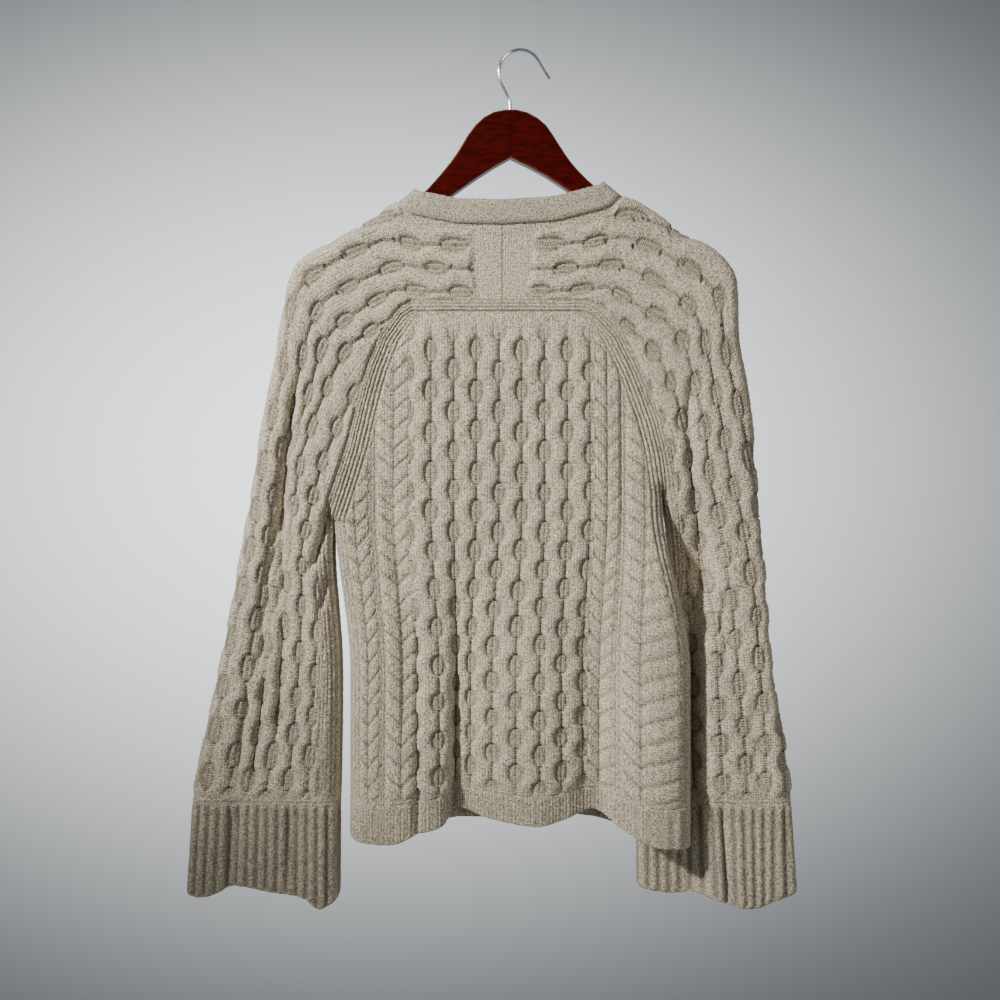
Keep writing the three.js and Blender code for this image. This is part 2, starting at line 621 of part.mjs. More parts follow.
// The lines of a body panel: the ends of the arms' rows at its sides, and cables between them
function bodyLines(face) {
  const { left, right } = seams[face < 0 ? 'back' : 'front'];
  const nodes = [...left, ...right]
    .filter((node) => node.row >= NECK_ROW)
    .map((node) => ({ at: node.x, kept: KEPT_ARM_ROWS.includes(node.row), plain: true }));
  const low = Math.max(...nodes.map((node) => node.at).filter((x) => x < NECK_MIDDLE));
  const high = Math.min(...nodes.map((node) => node.at).filter((x) => x > NECK_MIDDLE));
  const cables = [];
  for (let column = -COLUMNS_ASIDE; column <= COLUMNS_ASIDE; column += 1) {
    const valley = MIDDLE_COLUMN + column * CABLE_PITCH;
    const rope = valley + CABLE_PITCH / 2;
    const sway = column % 2 === 0 ? 1 : -1;
    cables.push({ at: valley, rise: GROOVE, sway: 0, kept: face > 0 || column % 2 === 0 });
    cables.push({ at: rope - ROPE_TOP, rise: 1, sway });
    cables.push({ at: rope + ROPE_TOP, rise: 1, sway });
  }
  const between = cables.filter((line) => line.at > low + LEAST_WIDTH && line.at < high - LEAST_WIDTH);
  return [...nodes, ...between].sort((a, b) => a.at - b.at);
}

const isRepeat = (level) => (level - CABLE_START) % CABLE_REPEAT === 0;

// The seam of the hem is straight from one kept line to the next
function hemSeam(face) {
  const ends = bodyLines(face).filter((line) => line.kept);
  const seamZ = (x) => mix(BODY_END, hemZ(face, x) + HEM_BAND, HEM_FOLLOW);
  return ends.map(({ at }) => at + leanAt(at, BODY_END)).map((x) => ({ x, z: seamZ(x) }));
}

// The direction out of the cloth along the seam of the hem
function hemSeamOut(face, at, lines) {
  const surface = (x, drop) => hemPoint(face, x, clamp(drop, 0, 1));
  const step = inside(at, lines[0].at, lines[lines.length - 1].at, STEP_ALONG);
  return outward(surface, at, 0, step, [0.01, 0.03], face).setZ(0).normalize();
}

function bodyWall(face) {
  const lines = bodyLines(face);
  const tops = lines.map((line) => panelTop(face, line.at));
  const levels = [];
  const step = face < 0 ? CABLE_REPEAT / 4 : CABLE_REPEAT / 2;
  const above = Math.ceil((Math.max(...tops) - CABLE_START) / step);
  for (let level = CABLE_START + above * step; level > BODY_END + step / 2; level -= step) {
    levels.push(level);
  }
  levels.push(BODY_END);
  const least = 0.3 * step;
  const firstRow = tops.map((top) => levels.findIndex((level) => level < top - least) - 1);
  const last = lines.length - 1;
  const surface = (at, level) => bodyPoint(face, at, level);
  const place = (i, j) => {
    const line = lines[j];
    const level = i === firstRow[j] ? tops[j] : levels[i];
    const atEnd = i === firstRow[j] || i === levels.length - 1;
    const settle = atEnd ? 0 : ease((tops[j] - level) / CABLE_REPEAT);
    const beat = Math.cos((2 * Math.PI * (level - CABLE_START)) / CABLE_REPEAT);
    const at = line.at + (line.plain ? 0 : BODY_SWAY * line.sway * beat * settle);
    const aside = inside(at, lines[0].at, lines[last].at, STEP_ALONG);
    const out = outward(surface, at, level, aside, inside(level, BODY_END, 0, STEP_ALONG), -face);
    if (i === levels.length - 1) out.copy(hemSeamOut(face, at, lines));
    const rise = line.plain ? plainRise(line.at, level) : CABLE_RISE * line.rise;
    const side = ease(Math.min(j, last - j) / 2);
    return { point: surface(at, level), out, rise: rise * settle * side };
  };
  return knitWall({
    rows: levels.length,
    lines: lines.length,
    place,
    has: () => true,
    same: (i, j) => [Math.max(i, firstRow[j]), j],
    keepRow: (i) => i === levels.length - 1 || i === 0 || isRepeat(levels[i]),
    keepLine: (j) => lines[j].kept,
    turn: face > 0,
  });
}

function hemWall(face) {
  const lines = bodyLines(face);
  const drops = [0, 0.2, 1];
  const surface = (at, drop) => hemPoint(face, at, clamp(drop, 0, 1));
  const last = lines.length - 1;
  const place = (i, j) => {
    const { at } = lines[j];
    const aside = inside(at, lines[0].at, lines[last].at, STEP_ALONG);
    const below = outward(surface, at, drops[i], aside, [-0.02, 0], face);
    const out = i === 0 ? hemSeamOut(face, at, lines) : below;
    const side = ease(Math.min(j, last - j) / 2);
    return { point: surface(at, drops[i]), out, rise: i === 0 ? 0 : RIB_RISE * (j % 2) * side };
  };
  return knitWall({
    rows: drops.length,
    lines: lines.length,
    place,
    has: () => true,
    same: (i, j) => [i, j],
    keepRow: (i) => i !== 1,
    keepLine: (j) => lines[j].kept,
    turn: face > 0,
  });
}

// The neckband

// The seam under the neckband, all round: the ends of the arms and of the front panel
function neckSeam() {
  const neck = ARM_ROWS.indexOf(NECK_ROW);
  const armPart = (arm) => [
    ...ARM_ROWS.slice(0, neck).map((row) => armPoint(arm, row, ARM_LINES[FOLD_LINE].at / ARM_COLUMNS)),
    ...ARM_LINES.slice(FOLD_LINE).map((line) => armPoint(arm, NECK_ROW, line.at / ARM_COLUMNS)),
  ];
  const front = bodyLines(1)
    .filter((line) => line.at >= seams.front.left[0].x && line.at <= seams.front.right[0].x)
    .map((line) => bodyPoint(1, line.at, panelTop(1, line.at)));
  return [...armPart(arms.left), ...front, ...armPart(arms.right).reverse()];
}

// The upper edge of the neckband over a point of its seam
function bandTop(seam) {
  const out = Math.min(1, Math.abs(seam.x - NECK_MIDDLE) / NECK_HALF);
  const face = seam.y < 0 ? -1 : 1;
  const lean = (straight(NECK_LEAN, 'out', out, face < 0 ? 'back' : 'front') * Math.PI) / 180;
  const x = seam.x + Math.sign(NECK_MIDDLE - seam.x) * NECK_BAND * Math.cos(lean);
  const z = seam.z + NECK_BAND * Math.sin(lean);
  const depth = depthAt(z) * fullness(belowShoulder(x, z));
  return new THREE.Vector3(x, face * depth, z);
}

function neckbandWall() {
  const seam = neckSeam();
  const tops = seam.map(bandTop);
  const lengths = [0];
  seam.forEach((point, k) => lengths.push(lengths[k] + point.distanceTo(seam[(k + 1) % seam.length])));
  const around = lengths[seam.length];
  const lines = 2 * Math.round(around / (2 * NECK_RIB_STEP));
  const surface = (at, height) => {
    const travel = ((((at % 1) + 1) % 1) * around) % around;
    const k = lengths.findIndex((length) => length > travel) - 1;
    const part = (travel - lengths[k]) / (lengths[k + 1] - lengths[k]);
    const after = (k + 1) % seam.length;
    const low = seam[k].clone().lerp(seam[after], part);
    const high = tops[k].clone().lerp(tops[after], part);
    const start = (2 * SEAM_GAP) / NECK_BAND;
    return low.lerp(high, mix(start, 1, height));
  };
  const heights = [0, 0.15, 1];
  const place = (i, j) => {
    const at = j / lines;
    const aside = 0.7 / lines;
    const out = outward(surface, at, heights[i], [-aside, aside], inside(heights[i], 0, 1, 0.1), -1);
    return { point: surface(at, heights[i]), out, rise: i === 0 ? 0 : NECK_RISE * (j % 2) };
  };
  return knitWall({
    rows: heights.length,
    lines: lines + 1,
    place,
    has: () => true,
    same: (i, j) => [i, j % lines],
    keepRow: (i) => i !== 1,
    keepLine: (j) => j % 2 === 0,
    turn: false,
  });
}

// The hanger

const WOOD = 12; // thickness of the hanger
const WOOD_BEVEL = 1.5;
const ARM_SEAT = 4.7; // from the shoulder line of the cloth down to the hanger under it
const WOOD_ARM = 21; // depth of the hanger's arms
const WIRE = 1.6; // radius of the hook's wire
const HOOK_RADIUS = 21.5;
const HOOK_MIDDLE = new THREE.Vector2(2.3, -19.7);
const HOOK_TURN = { from: 175, to: 20, step: 15.5 }; // degrees round that middle
const WOOD_TOP = -59.3;

// The hanger's outline where it shows, from the middle outwards
const NECK_LEFT = [
  [-8, WOOD_TOP],
  [-27, -63],
  [-39.4, -72],
  [-48, -82],
  [-62, -104.5],
  [-76, -122.5],
  [-99, -146.5],
];
const NECK_RIGHT = [
  [8, -62],
  [19.5, -68],
  [29, -76.5],
  [43.4, -98.5],
  [54.6, -114.5],
  [75, -135],
  [97, -151],
];
const UNDER_LEFT = [[-70.3, -148], [-34, -122.5], [-8, -107.3]];
const UNDER_RIGHT = [[-8, -107.3], [22.3, -122.5], [56, -144.5]];

const flat = (pairs) => pairs.map(([x, z]) => new THREE.Vector2(x, z));

// Points along a hanger arm under the cloth, a distance below the shoulder line
function underCloth(arm, rows, below) {
  const step = 0.3;
  return rows.map((row) => {
    const at = armPoint(arm, row, 1);
    const along = armPoint(arm, row + step, 1).sub(armPoint(arm, row - step, 1)).normalize();
    return new THREE.Vector2(at.x + arm.side * along.z * below, at.z - arm.side * along.x * below);
  });
}

function hangerWood() {
  const upperRows = [6, 7, 8, 9, 9.7];
  const lowerRows = [5.4, 7, 8.4, 9.4];
  const top = (arm) => underCloth(arm, upperRows, ARM_SEAT);
  const bottom = (arm) => underCloth(arm, lowerRows, ARM_SEAT + WOOD_ARM);
  const upper = new THREE.SplineCurve([
    ...top(arms.left).reverse(),
    ...flat(NECK_LEFT).reverse(),
    ...flat(NECK_RIGHT),
    ...top(arms.right),
  ]);
  const lowerLeft = new THREE.SplineCurve([...bottom(arms.left).reverse(), ...flat(UNDER_LEFT)]);
  const lowerRight = new THREE.SplineCurve([...flat(UNDER_RIGHT), ...bottom(arms.right)]);
  const upperPoints = 44;
  const lowerPoints = 12;
  const outline = [
    ...upper.getSpacedPoints(upperPoints),
    ...lowerRight.getSpacedPoints(lowerPoints).reverse(),
    ...lowerLeft.getSpacedPoints(lowerPoints).reverse().slice(1),
  ];
  const geometry = new THREE.ExtrudeGeometry(new THREE.Shape(outline), {
    depth: WOOD - 2 * WOOD_BEVEL,
    bevelThickness: WOOD_BEVEL,
    bevelSize: WOOD_BEVEL,
    bevelOffset: -WOOD_BEVEL,
    bevelSegments: 1,
    curveSegments: 1,
  });
  geometry.translate(0, 0, -WOOD / 2 + WOOD_BEVEL);
  geometry.rotateX(Math.PI / 2);
  return geometry;
}

function hangerHook() {
  const points = [[-8, WOOD_TOP + SEAM_GAP], [-8, -54], [-8.6, -48], [-13.4, -37.5], [-17.4, -29]];
  for (let degrees = HOOK_TURN.from; degrees > HOOK_TURN.to; degrees -= HOOK_TURN.step) {
    const angle = (degrees * Math.PI) / 180;
    const [x, z] = [Math.cos(angle), Math.sin(angle)];
    points.push([HOOK_MIDDLE.x + HOOK_RADIUS * x, HOOK_MIDDLE.y + HOOK_RADIUS * z]);
  }
  points.push([25.8, -17.4], [29, -22.5], [32.5, -27.5]);
  const path = new THREE.CatmullRomCurve3(points.map(([x, z]) => new THREE.Vector3(x, 0, z)));
  const wire = new THREE.Shape();
  wire.absarc(0, 0, WIRE, 0, 2 * Math.PI);
  return new THREE.ExtrudeGeometry(wire, { steps: 36, extrudePath: path, curveSegments: 4 });
}

// The pieces

const seamSides = (face) => ({ left: armSeam(arms.left, face), right: armSeam(arms.right, face) });
const seams = { back: seamSides(-1), front: seamSides(1) };
const hemSeams = { back: hemSeam(-1), front: hemSeam(1) };

function piece(name, geometry, color, roughness, metalness) {
  const mesh = new THREE.Mesh(geometry, new THREE.MeshStandardMaterial({ color, roughness, metalness }));
  mesh.name = name;
  return mesh;
}

const YARN = 0xbfb199;
const MAHOGANY = 0x5a160c;
const CHROME = 0xc4c6c8;
const knit = (name, geometry) => piece(name, geometry, YARN, 0.95, 0);

const sweater = new THREE.Group();
sweater.add(
  knit('back_panel', bodyWall(-1)),
  knit('front_panel', bodyWall(1)),
  knit('left_sleeve', armWall(arms.left)),
  knit('right_sleeve', armWall(arms.right)),
  knit('left_cuff', cuffWall(arms.left)),
  knit('right_cuff', cuffWall(arms.right)),
  knit('back_hem', hemWall(-1)),
  knit('front_hem', hemWall(1)),
  knit('neckband', neckbandWall()),
  piece('hanger_wood', hangerWood(), MAHOGANY, 0.3, 0),
  piece('hanger_hook', hangerHook(), CHROME, 0.15, 1),
);

export default sweater;
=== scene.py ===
import math
import bpy
import numpy as np
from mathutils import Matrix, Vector


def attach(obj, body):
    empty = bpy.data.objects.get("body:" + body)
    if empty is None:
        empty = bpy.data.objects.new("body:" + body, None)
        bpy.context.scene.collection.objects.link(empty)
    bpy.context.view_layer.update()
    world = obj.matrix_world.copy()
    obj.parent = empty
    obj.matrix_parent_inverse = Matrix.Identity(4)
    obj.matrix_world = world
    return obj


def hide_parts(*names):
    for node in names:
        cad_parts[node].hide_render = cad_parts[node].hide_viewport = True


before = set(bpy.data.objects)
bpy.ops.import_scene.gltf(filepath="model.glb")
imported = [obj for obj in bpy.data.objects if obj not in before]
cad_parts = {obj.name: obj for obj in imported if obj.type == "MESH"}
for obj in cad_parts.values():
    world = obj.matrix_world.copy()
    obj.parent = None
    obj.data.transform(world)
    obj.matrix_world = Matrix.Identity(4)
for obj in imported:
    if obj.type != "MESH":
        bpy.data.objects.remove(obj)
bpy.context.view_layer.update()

# A cable knit sweater hung on a flat wooden hanger, with its back to the camera. Sizes in this
# file are millimetres, as in the part's source, and become metres when a mesh is made. X runs to
# the right of someone who looks at the back, Y out of the front and Z up from the hook.

MM = 0.001

# Knit
KNIT = 2.6
CABLE_RISE = 4.0
PLAIT_RISE = 3.2
RIB_RISE = 1.5
SEAM_RISE = 0.8  # height of the knit beside a seam
CABLE_PITCH = 22.3
MIDDLE_COLUMN = -18.5
ROW_LENGTH = 20.0  # half a repeat of a cable on the sleeves
OVAL_LENGTH = 11.2  # half the length and width of the gap between two ropes
OVAL_WIDTH = 5.9
OUTER_STEP = 0.2  # from one column to the next past the last one that is listed
EDGE_PITCH = 3.6  # of the narrow ribs beside the seams and in the hem
STRIP_WIDTH = 11.0  # of the strip of such ribs along a raglan seam
CUFF_RIBS = 15
STITCH = 2.2  # height of one row of stitches
FIBRE_WIDTH = 0.13
NECK_RIBS = 116
GAP_FLOOR = 0.06  # height of the knit between two ropes, and of the ribs on it, as parts of a rope's
GAP_RIBS = 0.36
# The slit at each end of a gap is painted near black, a painted shade
SLIT_HEIGHT = 0.9  # of the dark slit at each end of a gap
SLIT_WIDTH = 2.7

# Usual widths of the pieces, by which their points are spaced
ARM_WIDTH = 105.0
BODY_WIDTH = 326.0
CUFF_WIDTH = 147.0

# Hang of the cloth
FOLD = 18.0
FOLD_POWER = 2.5
SHOULDER_DEPTH = 15.0
BODY_DEPTH = 22.0
EDGE_INSET = 3.0
CREASE_OPENING = 0.8
NECK_BAND = 24.0
HEM_BAND = 30.0
HEM_FOLLOW = 0.45
BODY_STRETCH = -600.0
BODY_END = -738.0
TUCK_FROM = 0.3
TUCK_WIDTH = 0.2
ARM_COLUMNS = 5
NECK_ROW = 5
UNDERARM_ROW = 18
CUFF_ROW = 32


def table(names, rows):
    return {name: np.array(column, float) for name, column in zip(names.split(), zip(*rows))}


# Each arm, from the middle of the back (row 0) past the neck point (row 5) and the underarm
# (row 18) to the cuff (row 32): its seam on the back, its outline, and its seam on the front
ARM_NAMES = "row backX backDown outerX outerDown frontX frontDown"
LEFT_ARM = table(ARM_NAMES, [
    (0, -15.5, 262.3, -15.5, 175.5, -110, 186.5),
    (2, -51.5, 262.3, -62, 174.5, -110, 186.5),
    (4, -87.4, 262.3, -107, 165.5, -110, 186.5),
    (5, -104.7, 262.3, -121, 152, -110, 186.5),
    (6, -114.5, 269.2, -142, 164, -114, 207),
    (8, -130.3, 291.9, -181, 188.5, -124, 250),
    (10, -141.6, 321.4, -215, 208.5, -135, 294),
    (11, -146.8, 339, -225, 225, -140.5, 316),
    (12, -151.5, 357.9, -232, 251.5, -146, 338),
    (14, -160.8, 398.3, -241, 308.5, -157, 381),
    (16, -172.5, 436.7, -253.5, 368.5, -170, 425),
    (18, -183, 468.5, -263, 430.5, -183, 468.5),
    (20, -184, 508, -271, 475, -184, 508),
    (25, -177, 608.5, -292, 588.5, -177, 608.5),
    (32, -178, 745.5, -325, 743.5, -178, 745.5),
])
RIGHT_ARM = table(ARM_NAMES, [
    (0, -15.5, 262.3, -15.5, 175.5, 89, 180.5),
    (2, 17.2, 262.3, 37, 172.5, 89, 180.5),
    (4, 49.6, 262.3, 88, 159.5, 89, 180.5),
    (5, 65.7, 262.3, 104, 145.5, 89, 180.5),
    (6, 77.5, 269.2, 123, 154, 93.5, 201),
    (8, 95.3, 288.9, 158, 177.5, 103, 243),
    (10, 109, 316.5, 194, 198.5, 111, 283),
    (11, 115.3, 331, 208, 212, 115, 303),
    (12, 121, 346, 216, 229, 119, 323),
    (14, 131, 374.6, 219, 288, 127, 362),
    (16, 138, 404, 230, 348.5, 135, 401),
    (18, 143, 440.5, 236, 408.5, 143, 440.5),
    (20, 150.5, 483, 241, 458, 150.5, 483),
    (22, 155, 527, 246, 508, 155, 527),
    (24, 147, 571, 249, 553, 147, 571),
    (26, 138, 615, 252, 598, 138, 615),
    (29, 126, 682, 265, 678.5, 126, 682),
    (32, 120, 745.5, 273, 745.5, 120, 745.5),
])
LEFT_CUFF = table("across x down", [
    (0, -178.5, 842), (0.12, -196, 849), (0.22, -211, 838), (0.45, -245, 832),
    (0.66, -276, 827), (0.85, -306, 837), (1, -328, 836),
])
RIGHT_CUFF = table("across x down", [
    (0, 121, 838), (0.2, 152, 843), (0.42, 187, 840), (0.62, 217, 848),
    (0.75, 234, 848), (0.88, 252, 841), (1, 277, 834),
])

# Columns of cables on the back of each sleeve, from the outermost one inwards, as parts of the way
# from the seam to the outline. One that hasn't begun, or has gone round the outline, lies outside.
COLUMN_NAMES = "row one two three four five six seven"
LEFT_COLUMNS = table(COLUMN_NAMES, [
    (0, 1.12, 0.79, 0.49, 0.21, -0.12, -0.4, -0.6),
    (5, 0.88, 0.64, 0.42, 0.19, -0.05, -0.3, -0.5),
    (6, 0.95, 0.74, 0.48, 0.26, 0.02, -0.2, -0.4),
    (8, 1.05, 0.83, 0.57, 0.35, 0.15, -0.1, -0.3),
    (10, 1.15, 0.84, 0.64, 0.43, 0.26, 0.02, -0.2),
    (12, 1.2, 0.92, 0.7, 0.54, 0.36, 0.12, -0.1),
    (14, 1.2, 0.88, 0.72, 0.58, 0.45, 0.22, -0.03),
    (16, 1.2, 0.88, 0.73, 0.62, 0.5, 0.27, 0.0),
    (18, 1.2, 0.9, 0.74, 0.61, 0.47, 0.27, 0.02),
    (20, 1.2, 0.88, 0.72, 0.6, 0.48, 0.33, 0.1),
    (22, 1.2, 0.9, 0.74, 0.61, 0.48, 0.32, 0.14),
    (25, 1.2, 0.93, 0.76, 0.61, 0.47, 0.33, 0.19),
    (28, 1.2, 0.92, 0.74, 0.6, 0.46, 0.33, 0.2),
    (32, 1.2, 0.9, 0.75, 0.62, 0.49, 0.34, 0.2),
])
RIGHT_COLUMNS = table(COLUMN_NAMES, [
    (0, 1.12, 0.79, 0.49, 0.21, -0.1, -0.4, -0.6),
    (5, 0.83, 0.62, 0.39, 0.19, -0.02, -0.25, -0.5),
    (6, 0.89, 0.7, 0.46, 0.26, 0.06, -0.15, -0.4),
    (8, 0.97, 0.78, 0.55, 0.31, 0.13, -0.1, -0.3),
    (10, 1.1, 0.79, 0.59, 0.4, 0.2, 0.0, -0.2),
    (12, 1.15, 0.83, 0.62, 0.45, 0.24, 0.05, -0.15),
    (14, 1.2, 0.85, 0.68, 0.5, 0.29, 0.08, -0.12),
    (16, 1.2, 0.87, 0.68, 0.51, 0.29, 0.13, -0.1),
    (18, 1.2, 0.93, 0.71, 0.49, 0.3, 0.12, -0.1),
    (20, 1.25, 0.97, 0.78, 0.54, 0.31, 0.1, -0.1),
    (22, 1.25, 1.0, 0.81, 0.56, 0.36, 0.15, -0.05),
    (24, 1.25, 1.02, 0.87, 0.64, 0.46, 0.25, 0.05),
    (26, 1.25, 1.03, 0.88, 0.69, 0.51, 0.34, 0.15),
    (29, 1.2, 0.97, 0.85, 0.7, 0.53, 0.36, 0.2),
    (32, 1.15, 0.94, 0.82, 0.7, 0.54, 0.38, 0.2),
])

# The beat of the cables at a row: the middle of the gap of an even column is at an even beat
LEFT_BEATS = table("row beat", [
    (0, 0.2), (2.2, 2), (4.3, 4), (7.4, 6), (9.9, 8), (12, 10), (13.9, 12), (15.6, 14), (17.3, 16),
    (19, 18), (20.8, 20), (22.6, 22), (24.8, 24), (26.9, 26), (28.7, 28), (30.9, 30), (32, 31),
])
RIGHT_BEATS = table("row beat", [
    (0, 0.4), (2, 2), (4.2, 4), (7.2, 6), (9.6, 8), (12, 10), (14.1, 12), (16, 14), (17.8, 16),
    (19.8, 18), (21.4, 20), (23.4, 22), (25.2, 24), (27.9, 27), (29.3, 29), (32, 32),
])

# The largest holes of the yoke: the direction of the ladder that each is in, in degrees, and size
HOLES = table("x down turn size", [
    (-122, 193, 20, 1), (-115, 196, 5, 0.7), (-146, 199, 15, 1), (-170, 207, 25, 0.9),
    (-190, 218, 40, 0.9), (-207, 237, 45, 1), (-62, 198, -10, 0.7), (-89, 220, -20, 0.8),
    (-66, 219, -15, 0.8), (-45, 222, 0, 0.9), (-135, 226, 15, 0.9), (-173, 243, 40, 0.9),
    (-199, 273, 60, 0.5), (-224, 285, 70, 0.6), (-152, 178, 10, 0.6), (86, 194, 10, 1.2),
    (113, 199, 0, 1), (140, 206, -25, 1.1), (163, 216, -30, 1), (181, 232, -40, 1.1),
    (199, 277, -75, 0.8), (114, 172, 15, 0.9), (123, 171, 15, 0.9), (151, 181, -25, 0.8),
    (171, 192, -30, 0.7), (37, 200, 15, 0.8), (37, 220, 15, 0.8), (59, 219, 10, 0.8),
    (100, 222, 10, 0.8), (104, 218, 20, 0.8), (160, 251, -45, 0.6), (173, 267, -55, 0.7),
    (188, 311, -75, 0.6), (210, 327, -80, 0.7), (9, 248, 20, 0.5),
])

# Creases: a trough from one end to the other, with its half width and depth
CREASE_NAMES = "face topX topDown endX endDown width depth"
LEFT_CREASES = table(CREASE_NAMES, [
    (-1, -216, 310, -243, 520, 4.5, 10),
    (-1, -228, 430, -234, 570, 4.5, 7),
    (-1, -240, 480, -258, 640, 5, 7),
    (-1, -231, 560, -240, 690, 4, 6),
    (-1, -248, 600, -262, 740, 4, 5),
    (-1, -262, 620, -278, 745, 4, 5),
    (-1, -184, 446, -205, 525, 4, 11),
    (-1, -188, 520, -194, 560, 3.5, 5),
    (-1, -276, 735, -287, 860, 8, 7),
    (-1, -222, 742, -219, 830, 7, 4),
    (1, -222, 330, -236, 640, 9, 9),
    (1, -262, 470, -270, 720, 6, 6),
])
RIGHT_CREASES = table(CREASE_NAMES, [
    (-1, 166, 320, 172, 470, 6, 6),
    (-1, 239, 400, 254, 680, 3, 4),
    (-1, 192, 450, 206, 640, 5, 4),
    (-1, 228, 640, 236, 745, 5, 3),
    (-1, 197, 735, 209, 860, 7, 7),
    (1, 190, 330, 200, 640, 9, 8),
    (1, 216, 560, 228, 740, 6, 5),
])
BODY_CREASES = table(CREASE_NAMES, [
    (-1, -99, 540, -99, 810, 3.5, 6),
    (-1, -112, 470, -108, 700, 9, 4),
    (-1, -62, 590, -68, 830, 4.5, 8),
    (-1, 80, 600, 84, 800, 8, 4),
    (-1, -128, 420, -118, 560, 8, 3),
    (1, -70, 560, -72, 820, 6, 7),
    (1, 60, 560, 66, 800, 8, 5),
    (1, 8, 640, 2, 800, 9, 3),
])

BODY_LEAN = table("at lean", [
    (-183, 16), (-173, 17), (-137, 10), (-107.7, 7), (-85.4, 8), (-63.1, 2), (-40.8, -6),
    (-18.5, -7), (26.1, -5), (70.7, -8), (106, -6), (130, -6), (136, 8), (143, 26),
])
FORWARD_DEPTH = 14.0
FORWARD = table("down part", [(440.5, 0), (482, 0.35), (522, 0.85), (562, 1)])
HEM = table("x backDown frontDown backFold frontFold", [
    (-168, 781, 781, -4, 0),
    (-150, 782, 783, 8, 4),
    (-120, 782, 780, 12, 6),
    (-98, 773, 774, 10, 2),
    (-74, 766, 770, 6, -3),
    (-60, 752, 770, -8, -2),
    (-30, 760, 772, -1, 4),
    (18, 767, 768, 5, 5),
    (46, 761, 765, 0, -2),
    (74, 753, 768, -8, -5),
    (100, 767, 774, 5, 0),
    (130, 782, 780, 9, 0),
    (169, 786, 785, 0, 0),
])
FRONT_NECK = table("x down", [
    (-110, 186.5), (-90, 218), (-60, 246), (-10, 262), (40, 245), (70, 214), (89, 180.5),
])
NECK_MIDDLE = -8.5
NECK_HALF = 112.5
NECK_LEAN = table("out back front", [
    (0, 90, 90), (0.5, 86, 72), (0.8, 76, 56), (0.875, 69, 50), (0.925, 57, 45), (0.968, 44, 41),
    (1, 38, 38),
])

# Where the middle column of cables stands open on the back: the repeats shorten downwards
OPENINGS = table("level count", [
    (-734, -11), (-698.6, -10), (-663.4, -9), (-627.7, -8), (-591.4, -7), (-554.7, -6), (-517.5, -5),
    (-479.3, -4), (-440.9, -3), (-402, -2), (-362.1, -1), (-321.7, 0), (-239, 2),
])

# Columns of plaits at the sides of the body, and the strips of ribs between them
PLAITS = table("middle half", [(-160, 13.5), (-122, 15.5), (87, 12.5), (124, 17.5)])
PLAIT_REPEAT = 19.0


# Small helpers for numbers and tables

def mix(low, high, part):
    return low + (high - low) * part


def ease(part):
    k = np.clip(part, 0, 1)
    return k * k * (3 - 2 * k)


def straight(rows, key, at, name):
    return np.interp(at, rows[key], rows[name])


def smooth(rows, key, at, name):
    x, y = rows[key], rows[name]
    before = np.r_[0, np.arange(len(x) - 1)]
    after = np.r_[np.arange(1, len(x)), len(x) - 1]
    slope = (y[after] - y[before]) / (x[after] - x[before])
    k = np.clip(np.searchsorted(x, at, side="left") - 1, 0, len(x) - 2)
    width = x[k + 1] - x[k]
    t = np.clip((at - x[k]) / width, 0, 1)
    rest = 1 - t
    return (
        y[k] * (1 + 2 * t) * rest * rest
        + slope[k] * width * t * rest * rest
        + y[k + 1] * t * t * (3 - 2 * t)
        - slope[k + 1] * width * t * t * rest
    )


def bell(distance, width):
    return np.exp(-(distance / width) ** 2)


# Shared shape of the hanging cloth, the same as the solids

def fullness(from_edge):
    rest = np.clip(1 - from_edge / FOLD, 0, 1)
    return (1 - rest ** FOLD_POWER) ** (1 / FOLD_POWER)


def depth_at(z):
    return mix(SHOULDER_DEPTH, BODY_DEPTH, ease((-200 - z) / 270))


def below_shoulder(x, z):
    left = (-155 + 0.78 * (x + 121) - z) / math.hypot(1, 0.78)
    right = (-148.5 - 0.8 * (x - 104) - z) / math.hypot(1, 0.8)
    return np.maximum(0, np.minimum(left, right))


def forward(x, z):
    return FORWARD_DEPTH * ease((x - 70) / 70) * straight(FORWARD, "down", -z, "part")


def creased(creases, face, x, z):
    depth = 0
    for k in np.flatnonzero(creases["face"] == face):
        crease = {name: column[k] for name, column in creases.items()}
        part = (-z - crease["topDown"]) / (crease["endDown"] - crease["topDown"])
        aside = x - mix(crease["topX"], crease["endX"], part)
        depth = depth + crease["depth"] * bell(aside, crease["width"]) * ease(part * 4) * ease((1 - part) * 4)
    return depth


# The arms

class Arm:
    def __init__(self, side, rows, creases, cuff, columns, beats, strip, tuck_back, tuck_slim):
        self.side, self.rows, self.creases, self.cuff = side, rows, creases, cuff
        self.columns, self.beats, self.strip = columns, beats, strip
        self.tuck_back, self.tuck_slim = tuck_back, tuck_slim
        self.beyond = {
            turn: {name: column[rows["row"] >= turn] for name, column in rows.items()}
            for turn in (NECK_ROW, UNDERARM_ROW)
        }

    def at(self, row, name):
        turn = NECK_ROW if name.startswith("outer") else UNDERARM_ROW
        curve = smooth(self.beyond[turn], "row", row, name)
        return np.where(row < turn, straight(self.rows, "row", row, name), curve)

    def underarm(self):
        return float(self.at(UNDERARM_ROW, "backX")), -float(self.at(UNDERARM_ROW, "backDown"))


ARMS = {
    "left": Arm(-1, LEFT_ARM, LEFT_CREASES, LEFT_CUFF, LEFT_COLUMNS, LEFT_BEATS, 19, 0, 0),
    "right": Arm(1, RIGHT_ARM, RIGHT_CREASES, RIGHT_CUFF, RIGHT_COLUMNS, RIGHT_BEATS, 14, 16.5, 0.5),
}


